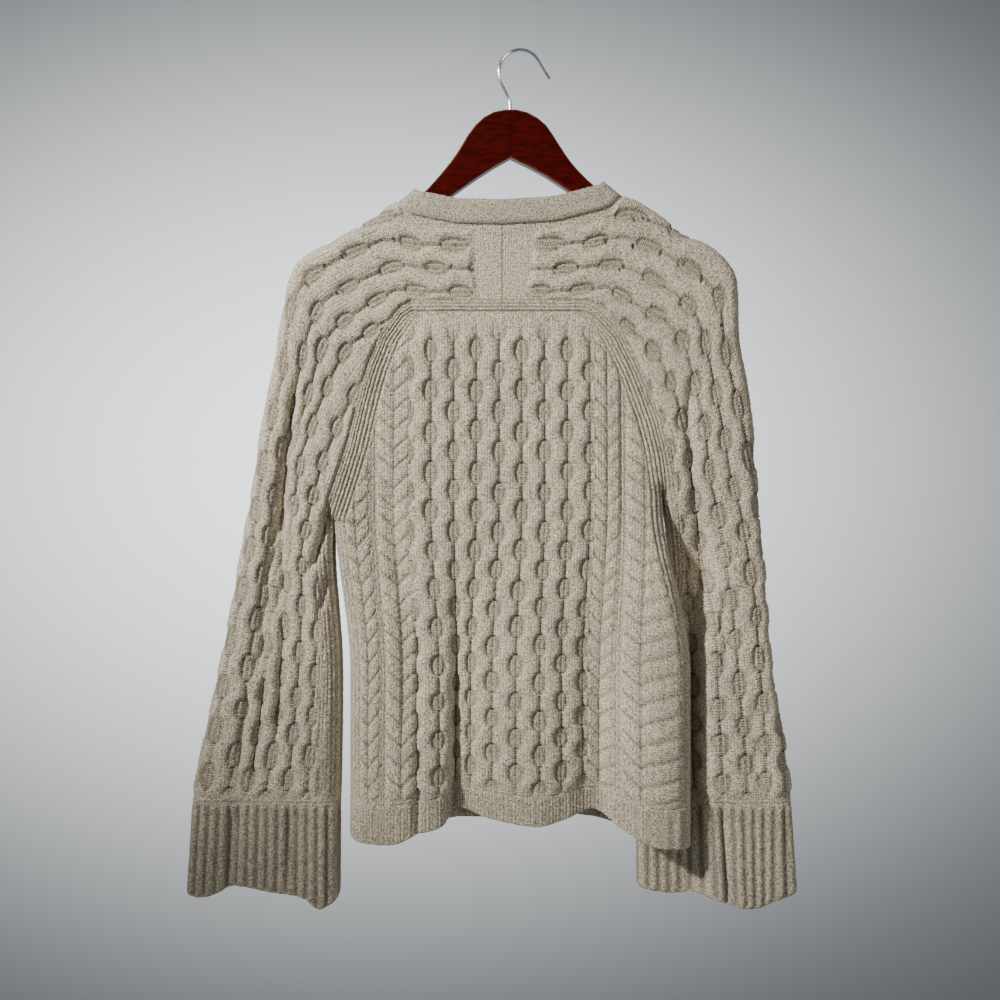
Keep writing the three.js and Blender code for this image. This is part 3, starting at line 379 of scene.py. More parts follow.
def sleeve_y(arm, face, row, part, length, x, z, neck_drop, above_arm):
    tucked = ease((row - UNDERARM_ROW) / 4) * (1 - ease((part - TUCK_FROM) / TUCK_WIDTH))
    depth = (
        depth_at(z)
        * (1 - arm.tuck_slim * tucked)
        * fullness((1 - part) * length + neck_drop)
        * fullness(part * length + above_arm)
    )
    dent = np.where(face < 0, creased(arm.creases, -1, x, z), creased(arm.creases, 1, x, z))
    dent = np.minimum(dent, depth * 0.7)
    return arm.tuck_back * tucked + face * (depth - dent)


def arm_point(arm, row, across):
    row, across = np.broadcast_arrays(np.asarray(row, float), np.asarray(across, float))
    face = np.where(across <= 1, -1, 1)
    part = np.where(face < 0, across, 2 - across)
    inner_x = np.where(face < 0, arm.at(row, "backX"), arm.at(row, "frontX"))
    inner_z = -np.where(face < 0, arm.at(row, "backDown"), arm.at(row, "frontDown"))
    edge_x, edge_z = arm.at(row, "outerX"), -arm.at(row, "outerDown")
    whole = np.hypot(edge_x - inner_x, edge_z - inner_z)
    end = 1 - (EDGE_INSET * ease(row - NECK_ROW + 1)) / whole
    x = mix(inner_x, edge_x, end * part)
    z = mix(inner_z, edge_z, end * part)
    drop = below_shoulder(mix(inner_x, edge_x, end), mix(inner_z, edge_z, end))
    neck_drop = np.where(row < NECK_ROW, drop, 0)
    above_arm = CREASE_OPENING * np.maximum(0, inner_z - arm.underarm()[1])
    y = sleeve_y(arm, face, row, part, whole * end, x, z, neck_drop, above_arm)
    return np.stack([x, y, z], -1), whole


def cuff_point(arm, drop, across):
    drop, across = np.broadcast_arrays(drop, across)
    face = np.where(across <= 1, -1, 1)
    part = np.where(face < 0, across, 2 - across)
    top, _ = arm_point(arm, np.full(drop.shape, float(CUFF_ROW)), across)
    x = mix(top[..., 0], smooth(arm.cuff, "across", part, "x"), drop)
    z = mix(top[..., 2], -smooth(arm.cuff, "across", part, "down"), drop)
    length = abs(arm.cuff["x"][0] - arm.cuff["x"][-1])
    y = sleeve_y(arm, face, float(CUFF_ROW), part, length, x, z, 0, 0)
    return np.stack([x, np.where(drop == 0, top[..., 1], y), z], -1)


# The body

def lean_at(at, z):
    return straight(BODY_LEAN, "at", at, "lean") * ease((-450 - z) / 170)


def arm_seam(arm, face, first):
    rows = np.arange(first, UNDERARM_ROW + 0.1, 0.5)
    name = "back" if face < 0 else "front"
    return arm.at(rows, name + "X"), -arm.at(rows, name + "Down")


def body_side(arm, face, z):
    under_x, under_z = arm.underarm()
    x, seam_z = arm_seam(arm, face, NECK_ROW)
    above = np.interp(z, seam_z[::-1], x[::-1])
    return np.where(z <= under_z, under_x + lean_at(under_x, z), above)


def body_y(face, x, z):
    open_part = 1
    for arm in ARMS.values():
        from_side = arm.side * (body_side(arm, face, z) - x)
        above = CREASE_OPENING * np.maximum(0, z - arm.underarm()[1])
        open_part = open_part * fullness(np.maximum(0, from_side) + above)
    ahead = forward(x, z)
    depth = depth_at(z) * (1 if face < 0 else 1 - 0.5 * ahead / FORWARD_DEPTH)
    fold = smooth(HEM, "x", x, "backFold" if face < 0 else "frontFold") * ease((-430 - z) / 330)
    fold = fold - creased(BODY_CREASES, face, x, z)
    return -ahead + face * (depth + fold) * open_part


def hem_z(face, x):
    return -smooth(HEM, "x", x, "backDown" if face < 0 else "frontDown")


def body_point(face, at, level):
    at, level = np.broadcast_arrays(at, level)
    x = at + lean_at(at, level)
    end = mix(BODY_END, hem_z(face, at + lean_at(at, BODY_END)) + HEM_BAND, HEM_FOLLOW)
    z = level + (end - BODY_END) * ease((BODY_STRETCH - level) / (BODY_STRETCH - BODY_END))
    return np.stack([x, body_y(face, x, z), z], -1)


def hem_point(face, at, drop):
    at, drop = np.broadcast_arrays(at, drop)
    top = body_point(face, at, np.full(at.shape, BODY_END))
    z = mix(top[..., 2], hem_z(face, top[..., 0]), drop)
    return np.stack([top[..., 0], body_y(face, top[..., 0], z), z], -1)


def panel_top(face, at):
    left_x, left_z = arm_seam(ARMS["left"], face, NECK_ROW)
    right_x, right_z = arm_seam(ARMS["right"], face, NECK_ROW)
    middle = left_z[0] if face < 0 else -smooth(FRONT_NECK, "x", at, "down")
    top = np.where(at < left_x[0], np.interp(at, left_x[::-1], left_z[::-1]), middle)
    return np.where(at > right_x[0], np.interp(at, right_x, right_z), top)


# Relief of the knit. Each function gives the height over the plain cloth, and how dark it is: painted shade
# in the grooves, gaps and holes of the knit, and a few dark seam lines.

LOOSENESS = np.random.default_rng(11).uniform(-1, 1, (3, 64, 64))


def loose(which, column, repeat):
    """How much one opening of a column differs from the others, from -1 to 1."""
    return LOOSENESS[which, np.int64(column) % 64, np.int64(repeat) % 64]


def opening(column, beat, pitch):
    """Half the width of a column's gap at a place, and how far along that gap the place is."""
    own = beat - np.mod(column, 2)
    repeat = np.round(own / 2)
    along = (own - 2 * repeat) * ROW_LENGTH + 1.4 * loose(0, column, repeat)
    length = OVAL_LENGTH * (1 + 0.1 * loose(1, column, repeat))
    widest = OVAL_WIDTH * np.minimum(1, pitch / CABLE_PITCH) * (1 + 0.16 * loose(2, column, repeat))
    half = widest * np.sqrt(np.clip(1 - (along / length) ** 2, 0, 1)) + 0.5
    return half, np.abs(along) - length


def rope(u, beat, pitch):
    """Ropes between columns at whole u. An even column stands open at even beats."""
    low = np.floor(u)
    from_low, from_high = (u - low) * pitch, (low + 1 - u) * pitch
    half_low, end_low = opening(low, beat, pitch)
    half_high, end_high = opening(low + 1, beat, pitch)
    width = np.maximum(pitch - half_low - half_high, 1.0)
    part = (from_low - half_low) / width
    height = np.sqrt(np.clip(1 - np.abs(2 * np.clip(part, 0, 1) - 1) ** 2.2, 0, 1))
    # Painted shade: the knit is darker the lower it lies between the ropes
    dark = 0.3 * (1 - height)
    for aside, half, end, edge, strength in (
        (from_low, half_low, end_low, part, 0.35),
        (from_high, half_high, end_high, 1 - part, 0.65),
    ):
        opened = ease((half - 1.5) / 3)
        ribs_inside = GAP_RIBS * bell(aside - 0.42 * half, 1.4) * opened
        height = np.where(edge < 0, GAP_FLOOR + ribs_inside, height)
        # Painted shade in the slit at each end of a gap, and in a thin line round the rim of the gap
        slit = bell(end + 0.3, SLIT_HEIGHT) * bell(aside, SLIT_WIDTH) * ease((pitch - 9) / 6)
        dark = np.maximum(dark, strength * bell(edge, 0.1) * opened)
        dark = np.maximum(dark, np.minimum(1, 1.3 * slit))
        height = height - 0.2 * slit
    return height, dark


def ribs(distance, pitch):
    return 0.5 - 0.5 * np.cos(2 * np.pi * distance / pitch)


def plait(aside, z):
    """Two strands that meet in a V which points down."""
    phase = (z - aside * 0.7 * PLAIT_REPEAT) / PLAIT_REPEAT
    lobe = np.sqrt(np.clip(1 - np.abs(2 * np.mod(phase, 1) - 1) ** 3, 0, 1))
    across = np.sqrt(np.clip(1 - np.abs(2 * aside - 1) ** 3.5, 0, 1))
    # Painted shade in the grooves where the strands meet and down the middle of the plait
    groove = bell(np.mod(phase + 0.5, 1) - 0.5, 0.08) + bell(aside, 0.09) * 0.7
    return (0.3 + 0.7 * lobe) * across, np.clip(groove * 0.55, 0, 1)


def rib_strip(distance):
    """Narrow ribs beside a seam: their height, and the painted shade that darkens the hollows between them.
    """
    wave = ribs(distance, EDGE_PITCH)
    return RIB_RISE * wave, 0.5 * (1 - wave) ** 2


def body_relief(face, at, level, points, top):
    u = (at - MIDDLE_COLUMN) / CABLE_PITCH
    beat = -2 * straight(OPENINGS, "level", level, "count")
    height, dark = rope(u, beat, CABLE_PITCH)
    height = height * CABLE_RISE
    ladder = np.ones_like(height)
    outside = np.abs(u) > 4.35
    strip_height, strip_dark = rib_strip(at)
    height = np.where(outside, strip_height, height)
    dark = np.where(outside, strip_dark, dark)
    ladder = np.where(outside, 0, ladder)
    for middle, half in zip(PLAITS["middle"], PLAITS["half"]):
        aside = np.abs(at - middle) / half
        plait_height, groove = plait(aside, level)
        here = aside < 1
        height = np.where(here, PLAIT_RISE * plait_height, height)
        dark = np.where(here, groove, dark)
        ladder = np.where(here, 0, ladder)
    # The ribs that follow the raglan seams and go on down the sides
    from_seam = np.full(height.shape, 1e3)
    for arm in ARMS.values():
        sideways = arm.side * (body_side(arm, face, points[..., 2]) - points[..., 0])
        from_seam = np.minimum(from_seam, np.maximum(sideways, 0) * 0.86)
    strip = 1 - ease((from_seam - STRIP_WIDTH) / 3)
    strip_height, strip_dark = rib_strip(from_seam)
    settled = ease((top - level - 6) / 26)
    height = mix(SEAM_RISE, height, settled)
    height = mix(height, strip_height + 0.4, strip)
    dark = mix(dark * settled, strip_dark, strip)
    ladder = ladder * (1 - strip) * settled
    # A thin dark line where the panel is sewn to the yoke
    dark = np.maximum(dark, 0.7 * bell(top - level, 0.8))
    hem = ease((level - BODY_END) / 10)
    return height * mix(0.35, 1, hem), ladder * hem, dark * hem


def arm_columns(arm, row, part):
    """Which column of cables a place on the back of a sleeve is at, and their pitch there."""
    names = COLUMN_NAMES.split()[1:]
    places = [straight(arm.columns, "row", row, name) for name in names]
    u = 1 + np.minimum(0, (places[0] - part) / OUTER_STEP)
    gap = np.full(u.shape, OUTER_STEP)
    for outer, inner in zip(places, places[1:]):
        step = (outer - part) / (outer - inner)
        u = u + np.clip(step, 0, 1)
        gap = np.where((step > 0) & (step <= 1), outer - inner, gap)
    return u + np.maximum(0, (places[-1] - part) / OUTER_STEP), gap


def arm_relief(arm, row, across, points, whole):
    part = np.where(across <= 1, across, 2 - across)
    at_fold, _ = arm_columns(arm, row, np.ones_like(part))
    back_u, gap = arm_columns(arm, row, part)
    u = np.where(across <= 1, back_u, at_fold - ARM_COLUMNS * (1 - part))
    pitch = np.where(across <= 1, gap, 1 / ARM_COLUMNS) * whole
    beat = straight(arm.beats, "row", row, "beat")
    height, dark = rope(u, beat, pitch)
    height = height * CABLE_RISE * np.minimum(1, pitch / 18)
    ladder = np.ones_like(height)
    # Plain knit beside the seam in the middle of the back, and rows of small holes at the neck
    yoke = ease((NECK_ROW - row) / 0.6)
    plain = 1 - ease((row - 1.25) / 0.35)
    at_neck = ease((part - 0.86) / 0.05) * yoke
    plain = np.maximum(plain, at_neck)
    dots = at_neck * ease((1 - part) * whole / 3) * ease((row - 0.5) / 0.5)
    height = mix(height, SEAM_RISE, plain)
    dark = dark * (1 - plain)
    ladder = ladder * (1 - plain)
    # Each of the largest holes is a shallow dent painted dark, a painted shade for the hole
    for x, down, turn, size in zip(*HOLES.values()):
        aside, along = points[..., 0] - x, points[..., 2] + down
        lean = math.radians(turn)
        far = np.hypot(
            (aside * math.cos(lean) + along * math.sin(lean)) / 1.5,
            (along * math.cos(lean) - aside * math.sin(lean)) / 3.2,
        )
        hole = (1 - ease((far / size - 0.6) / 0.7)) * (across <= 1)
        dark = np.maximum(dark, hole)
        height = height * (1 - 0.8 * hole)
    distance = part * whole
    strip_width = mix(STRIP_WIDTH, arm.strip, ease((row - UNDERARM_ROW) / 6))
    strip = 1 - ease((distance - strip_width) / 3)
    strip_height, strip_dark = rib_strip(distance)
    height = mix(height, strip_height + 0.4, strip)
    dark = mix(dark, strip_dark, strip)
    ladder = ladder * (1 - strip)
    dots = dots * (1 - strip)
    settle = ease((CUFF_ROW - row) / 0.7)
    height = mix(SEAM_RISE, height, settle)
    centre_seam = 0.35 * bell(row * 17, 0.8)
    return height, u, ladder * settle, np.maximum(dark * settle, centre_seam), dots


# Making a closed wall of cloth

COARSE = 4  # the plain inner face has a point for every fourth one outside
GRAIN = np.random.default_rng(5)
FLUFF = np.random.default_rng(23)


def grain(shape):
    """Small random unevenness of the yarn, none at the edges of a grid."""
    rough = GRAIN.normal(0, 0.2, shape)
    rough[[0, -1]] = 0
    rough[:, [0, -1]] = 0
    return rough


def normals(points, around, sign):
    along_v = np.gradient(points, axis=0)
    if around:
        along_u = np.roll(points, -1, 1) - np.roll(points, 1, 1)
        along_u[:, 0] = points[:, 1] - points[:, -2]
        along_u[:, -1] = along_u[:, 0]
    else:
        along_u = np.gradient(points, axis=1)
    out = np.cross(along_u, along_v)
    out /= np.maximum(np.linalg.norm(out, axis=-1, keepdims=True), 1e-9)
    return out * sign


class Wall:
    """One or more grids of cloth, thickened and joined where their points meet."""

    def __init__(self):
        self.points, self.faces, self.values, self.count = [], [], [], 0
        self.surface, self.out = [], []

    def add(self, points, values):
        first = self.count
        self.points.append(points.reshape(-1, 3))
        self.values.append(values.reshape(-1, values.shape[-1]))
        self.count += self.points[-1].shape[0]
        return np.arange(first, self.count).reshape(points.shape[:-1])

    def quads(self, index, flip):
        ring = [index[:-1, :-1], index[1:, :-1], index[1:, 1:], index[:-1, 1:]]
        if flip:
            ring.reverse()
        a, b, c, d = [corner.ravel() for corner in ring]
        self.faces.append(np.stack([a, b, c], -1))
        self.faces.append(np.stack([a, c, d], -1))

    def rim(self, fine, coarse, flip):
        for k in range(len(coarse) - 1):
            low = fine[k * COARSE : (k + 1) * COARSE + 1]
            fan = [(low[i], low[i + 1], coarse[k]) for i in range(COARSE)]
            fan.append((low[-1], coarse[k + 1], coarse[k]))
            fan = np.array(fan)
            self.faces.append(fan[:, ::-1] if flip else fan)

    def cloth(self, points, out, height, values, flip, rims):
        raised = points + out * (height + grain(height.shape))[..., None]
        self.surface.append(raised.reshape(-1, 3))
        self.out.append(out.reshape(-1, 3))
        outer = self.add(raised, values)
        inner_values = values[::COARSE, ::COARSE] * 0
        inner_values[..., :2] = values[::COARSE, ::COARSE, :2]
        inner = self.add((points - out * KNIT)[::COARSE, ::COARSE], inner_values)
        self.quads(outer, flip)
        self.quads(inner, not flip)
        for side, first, last in rims:
            part = slice(first, last + 1)
            coarse_part = slice(first // COARSE, last // COARSE + 1)
            if side == "top":
                self.rim(outer[0, part], inner[0, coarse_part], flip)
            if side == "bottom":
                self.rim(outer[-1, part], inner[-1, coarse_part], not flip)
            if side == "left":
                self.rim(outer[part, 0], inner[coarse_part, 0], not flip)
            if side == "right":
                self.rim(outer[part, -1], inner[coarse_part, -1], flip)

    def mesh(self, name):
        points = np.concatenate(self.points)
        values = np.concatenate(self.values)
        _, first, index = np.unique(np.round(points, 4), axis=0, return_index=True, return_inverse=True)
        faces = index.reshape(-1)[np.concatenate(self.faces)]
        good = (faces[:, 0] != faces[:, 1]) & (faces[:, 1] != faces[:, 2]) & (faces[:, 0] != faces[:, 2])
        return new_mesh(name, points[first] * MM, faces[good], values[first])

    def fluff(self, name, count):
        """Loose fibres that stand off the cloth, each a thin blade with one bend."""
        surface, out = np.concatenate(self.surface), np.concatenate(self.out)
        chosen = FLUFF.integers(0, len(surface), count)
        root, up = surface[chosen], out[chosen]
        root = root + FLUFF.normal(0, 0.6, root.shape) * (1 - np.abs(up))
        lean = FLUFF.normal(0, 1, root.shape)
        lean /= np.linalg.norm(lean, axis=1, keepdims=True)
        way = up * FLUFF.uniform(0.25, 1.0, (count, 1)) + lean * 0.9
        way /= np.linalg.norm(way, axis=1, keepdims=True)
        length = FLUFF.uniform(0.9, 3.0, (count, 1))
        side = np.cross(way, FLUFF.normal(0, 1, root.shape))
        side /= np.linalg.norm(side, axis=1, keepdims=True)
        side *= FIBRE_WIDTH / 2
        low = root - up * 0.3
        bend = low + way * length * 0.6
        tip = bend + (way + lean * 0.5 - up * 0.3) * length * 0.4
        points = np.stack([low - side, low + side, bend + side * 0.8, bend - side * 0.8, tip], 1)
        faces = np.array([(0, 1, 2), (0, 2, 3), (3, 2, 4)])
        faces = (np.arange(count)[:, None, None] * 5 + faces).reshape(-1, 3)
        return new_mesh(name, points.reshape(-1, 3) * MM, faces)


VALUE_NAMES = ("column", "line", "ladder", "dark", "dots")


def new_mesh(name, points, faces, values=None):
    mesh = bpy.data.meshes.new(name)
    mesh.vertices.add(len(points))
    mesh.vertices.foreach_set("co", points.astype(np.float32).ravel())
    mesh.loops.add(faces.size)
    mesh.loops.foreach_set("vertex_index", faces.astype(np.int32).ravel())
    mesh.polygons.add(len(faces))
    mesh.polygons.foreach_set("loop_start", np.arange(0, faces.size, 3, dtype=np.int32))
    mesh.polygons.foreach_set("use_smooth", np.ones(len(faces), dtype=bool))
    mesh.update(calc_edges=True)
    mesh.validate()
    if values is not None:
        for k, value_name in enumerate(VALUE_NAMES):
            layer = mesh.attributes.new(value_name, "FLOAT", "POINT")
            layer.data.foreach_set("value", values[:, k].astype(np.float32))
    piece = bpy.data.objects.new(name, mesh)
    bpy.context.scene.collection.objects.link(piece)
    return piece


def stack(*values):
    return np.stack(np.broadcast_arrays(*values), -1)


def even_steps(profile, count):
    """Places in 0 to 1 that lie evenly along a curve of points."""
    fine = np.linspace(0, 1, len(profile))
    length = np.r_[0, np.cumsum(np.linalg.norm(np.diff(profile, axis=0), axis=1))]
    return np.interp(np.linspace(0, length[-1], count), length, fine)


def half_arm_steps(count, end):
    part = np.linspace(0, end, 4001)
    depth = BODY_DEPTH * fullness((1 - part) * ARM_WIDTH) * fullness(part * ARM_WIDTH)
    return even_steps(np.stack([part * ARM_WIDTH, depth], -1), count) * end


NECK_FOLD = 4.94 / ARM_COLUMNS


def arm_wall(arm):
    flip = arm.side > 0
    wall = Wall()
    back = half_arm_steps(93, NECK_FOLD)
    turn = np.linspace(NECK_FOLD, 2 - NECK_FOLD, 5)[1:-1]
    across = np.r_[back, turn, (2 - back)[::-1]]
    yoke_rows = np.linspace(0, NECK_ROW, 65)
    upper_rows = np.linspace(NECK_ROW, UNDERARM_ROW, 173)
    lower_rows = np.linspace(UNDERARM_ROW, CUFF_ROW, 189)
    sleeve_rows = np.r_[upper_rows, lower_rows[1:]]
    open_rows = np.searchsorted(sleeve_rows, UNDERARM_ROW)
    yoke_last, back_last, last = len(yoke_rows) - 1, len(back) - 1, len(across) - 1
    yoke_rims = [("top", 0, back_last), ("left", 0, yoke_last), ("right", 0, yoke_last)]
    seams = [("left", 0, open_rows), ("right", 0, open_rows)]
    sleeve_rims = [("bottom", 0, last), *seams, ("top", back_last, last)]
    yoke = np.meshgrid(yoke_rows, back, indexing="ij")
    sleeve = np.meshgrid(sleeve_rows, across, indexing="ij")
    yoke_points, yoke_whole = arm_point(arm, *yoke)
    sleeve_points, sleeve_whole = arm_point(arm, *sleeve)
    yoke_out = normals(yoke_points, False, -arm.side)
    sleeve_out = normals(sleeve_points, False, -arm.side)
    sleeve_out[open_rows:] = normals(sleeve_points, True, -arm.side)[open_rows:]
    shared = yoke_out[-1] + sleeve_out[0, : len(back)]
    shared /= np.linalg.norm(shared, axis=-1, keepdims=True)
    yoke_out[-1] = sleeve_out[0, : len(back)] = shared
    for (row, at), points, out, whole, rims in (
        (yoke, yoke_points, yoke_out, yoke_whole, yoke_rims),
        (sleeve, sleeve_points, sleeve_out, sleeve_whole, sleeve_rims),
    ):
        height, u, ladder, dark, dots = arm_relief(arm, row, at, points, whole)
        values = stack(u, row * ROW_LENGTH, ladder, dark, dots)
        wall.cloth(points, out, height, values, flip, rims)
    return wall


def cuff_wall(arm):
    wall = Wall()
    half = half_arm_steps(97, 1)
    steps = np.r_[half, (2 - half)[::-1][1:]]
    drop, at = np.meshgrid(np.linspace(0, 1, 61), steps, indexing="ij")
    points = cuff_point(arm, drop, at)
    out = normals(points, True, -arm.side)
    part = np.where(at <= 1, at, 2 - at)
    rib = ribs(part * CUFF_WIDTH, CUFF_WIDTH / CUFF_RIBS)
    start = ease(drop * 12)
    end = ease((1 - drop) * 25)
    height = mix(SEAM_RISE, 2.6 * rib ** 0.7, start) * mix(0.5, 1, end)
    # Painted shade in the hollows between the ribs
    dark = 0.75 * (1 - rib) ** 3 * start * end
    values = stack(part * CUFF_WIDTH / STITCH, drop * 100, 0, dark, 0)
    last = drop.shape[1] - 1
    wall.cloth(points, out, height, values, arm.side > 0, [("top", 0, last), ("bottom", 0, last)])
    return wall


def body_steps(count):
    part = np.linspace(0, 1, 8001)
    depth = BODY_DEPTH * fullness(part * BODY_WIDTH) * fullness((1 - part) * BODY_WIDTH)
    return even_steps(np.stack([part * BODY_WIDTH, depth], -1), count)


def body_ends():
    return ARMS["left"].underarm()[0], ARMS["right"].underarm()[0]


def panel_wall(face, across_count, down_count):
    wall = Wall()
    low, high = body_ends()
    at = mix(low, high, body_steps(across_count))[None, :]
    top = panel_top(face, at)
    down = np.linspace(0, 1, down_count)[:, None]
    level = mix(top, BODY_END, down)
    at = np.broadcast_to(at, level.shape)
    points = body_point(face, at, level)
    out = normals(points, False, face)
    height, ladder, dark = body_relief(face, at, level, points, top)
    side = ease(np.minimum(at - low, high - at) / 4)
    values = stack((at - MIDDLE_COLUMN) / CABLE_PITCH, level, ladder * side, dark * side, 0)
    sides = [(name_, 0, across_count - 1) for name_ in ("top", "bottom")]
    sides += [(name_, 0, down_count - 1) for name_ in ("left", "right")]
    wall.cloth(points, out, height * side, values, face > 0, sides)
    return wall


def hem_wall(face, across_count):
    wall = Wall()
    low, high = body_ends()
    at, drop = np.meshgrid(mix(low, high, body_steps(across_count)), np.linspace(0, 1, 25))
    points = hem_point(face, at, drop)
    out = normals(points, False, face)
    side = ease(np.minimum(at - low, high - at) / 4)
    start, end = ease(drop * 6), ease((1 - drop) * 8)
    rib = ribs(at, EDGE_PITCH)
    height = mix(SEAM_RISE, RIB_RISE * rib, start) * side * mix(0.5, 1, end)
    # Painted shade in the hollows between the ribs
    dark = 0.4 * (1 - rib) ** 2 * start * end * side
    values = stack((at - MIDDLE_COLUMN) / CABLE_PITCH, -drop * 40, 0, dark, 0)
    sides = [(name_, 0, across_count - 1) for name_ in ("top", "bottom")]
    sides += [(name_, 0, 24) for name_ in ("left", "right")]
    wall.cloth(points, out, height, values, face > 0, sides)
    return wall


# The neckband

def neck_seam():
    def arm_part(arm):
        rows = np.arange(0, NECK_ROW, 0.25)
        yoke, _ = arm_point(arm, rows, NECK_FOLD)
        turn, _ = arm_point(arm, NECK_ROW, np.linspace(NECK_FOLD, 2, 41))
        return np.concatenate([yoke, turn])

    at = np.linspace(FRONT_NECK["x"][0], FRONT_NECK["x"][-1], 80)[1:-1]
    front = body_point(1, at, panel_top(1, at))
    return np.concatenate([arm_part(ARMS["left"]), front, arm_part(ARMS["right"])[::-1]])


def band_top(seam):
    out = np.minimum(1, np.abs(seam[:, 0] - NECK_MIDDLE) / NECK_HALF)
    face = np.where(seam[:, 1] < 0, -1, 1)
    back_lean = straight(NECK_LEAN, "out", out, "back")
    front_lean = straight(NECK_LEAN, "out", out, "front")
    lean = np.radians(np.where(face < 0, back_lean, front_lean))
    x = seam[:, 0] + np.sign(NECK_MIDDLE - seam[:, 0]) * NECK_BAND * np.cos(lean)
    z = seam[:, 2] + NECK_BAND * np.sin(lean)
    return np.stack([x, face * depth_at(z) * fullness(below_shoulder(x, z)), z], -1)


def neckband_wall():
    seam = neck_seam()
    tops = band_top(seam)
    ring = np.concatenate([seam, seam[:1]])
    ring_top = np.concatenate([tops, tops[:1]])
    length = np.r_[0, np.cumsum(np.linalg.norm(np.diff(ring, axis=0), axis=1))]
    count, tall = 401, 17
    travel = np.linspace(0, length[-1], count)
    low = np.stack([np.interp(travel, length, ring[:, k]) for k in range(3)], -1)
    high = np.stack([np.interp(travel, length, ring_top[:, k]) for k in range(3)], -1)
    points = mix(low[None], high[None], np.linspace(0, 1, tall)[:, None, None])
    out = normals(points, True, 1)
    drop = np.linspace(0, 1, tall)[:, None]
    rib = ribs(travel, length[-1] / NECK_RIBS)[None, :] * np.ones((tall, 1))
    start, end = ease(drop * 5), ease((1 - drop) * 8)
    height = mix(SEAM_RISE, 1.5 * rib, start) * mix(0.5, 1, end)
    # The dark value is painted shade in the hollows between the ribs
    values = stack(travel[None, :] / STITCH, drop * NECK_BAND, 0, 0.5 * (1 - rib) ** 2 * start, 0)
    wall = Wall()
    wall.cloth(points, out, height, values, True, [("top", 0, count - 1), ("bottom", 0, count - 1)])
    return wall


# Materials

class Nodes:
    """Short names for making shader nodes."""

    def __init__(self, name):
        self.material = bpy.data.materials.new(name)
        self.material.use_nodes = True
        self.tree = self.material.node_tree
        self.shader = self.tree.nodes["Principled BSDF"]

    def set(self, socket, value):
        if isinstance(value, bpy.types.NodeSocket):
            self.tree.links.new(value, socket)
        else:
            socket.default_value = value

    def node(self, kind, inputs=(), **settings):
        node = self.tree.nodes.new(kind)
        for key, value in settings.items():
            setattr(node, key, value)
        for key, value in dict(inputs).items():
            self.set(node.inputs[key], value)
        return node

    def math(self, operation, a, b=0.0):
        return self.node("ShaderNodeMath", {0: a, 1: b}, operation=operation).outputs[0]

    def noise(self, vector, scale, detail=2.0):
        inputs = {"Vector": vector, "Scale": scale, "Detail": detail}
        return self.node("ShaderNodeTexNoise", inputs).outputs["Fac"]

    def attribute(self, name):
        return self.node("ShaderNodeAttribute", attribute_name=name).outputs["Fac"]

    def ramp(self, factor, low, high, start=0.0, end=1.0):
        inputs = {"Value": factor, "From Min": start, "From Max": end}
        part = self.node("ShaderNodeMapRange", inputs).outputs[0]
        mixer = self.node("ShaderNodeMix", data_type="RGBA")
        self.set(mixer.inputs["Factor"], part)
        self.set(mixer.inputs[6], low)
        self.set(mixer.inputs[7], high)
        return mixer.outputs[2]

    def bump(self, height, distance, strength, normal=None):
        inputs = {"Height": height, "Distance": distance, "Strength": strength}
        node = self.node("ShaderNodeBump", inputs)
        if normal is not None:
            self.set(node.inputs["Normal"], normal)
        return node.outputs[0]


def knit_colour(n, place):
    """Speckled oatmeal yarn with broad, faint clouds of light and dark."""
    speckle = n.noise(place, 560.0, 4.0)
    fleck = n.noise(place, 1500.0, 2.0)
    cloudy = n.noise(place, 14.0, 2.0)
    mottled = n.math("ADD", n.math("MULTIPLY", speckle, 0.65), n.math("MULTIPLY", fleck, 0.35))
    warm = n.ramp(mottled, (0.22, 0.175, 0.11, 1), (0.92, 0.815, 0.60, 1), 0.38, 0.62)
    tone = n.ramp(cloudy, (0.92, 0.92, 0.92, 1), (1.05, 1.04, 1.02, 1), 0.35, 0.65)
    base = n.node("ShaderNodeMix", data_type="RGBA", blend_type="MULTIPLY")
    base.inputs["Factor"].default_value = 1.0
    n.set(base.inputs[6], warm)
    n.set(base.inputs[7], tone)
    return base.outputs[2]


def soft_yarn(n):
    n.shader.inputs["Roughness"].default_value = 0.95
    n.shader.inputs["Specular IOR Level"].default_value = 0.12
    n.shader.inputs["Sheen Weight"].default_value = 0.3
    n.shader.inputs["Sheen Roughness"].default_value = 0.6
    n.shader.inputs["Sheen Tint"].default_value = (0.9, 0.82, 0.68, 1)


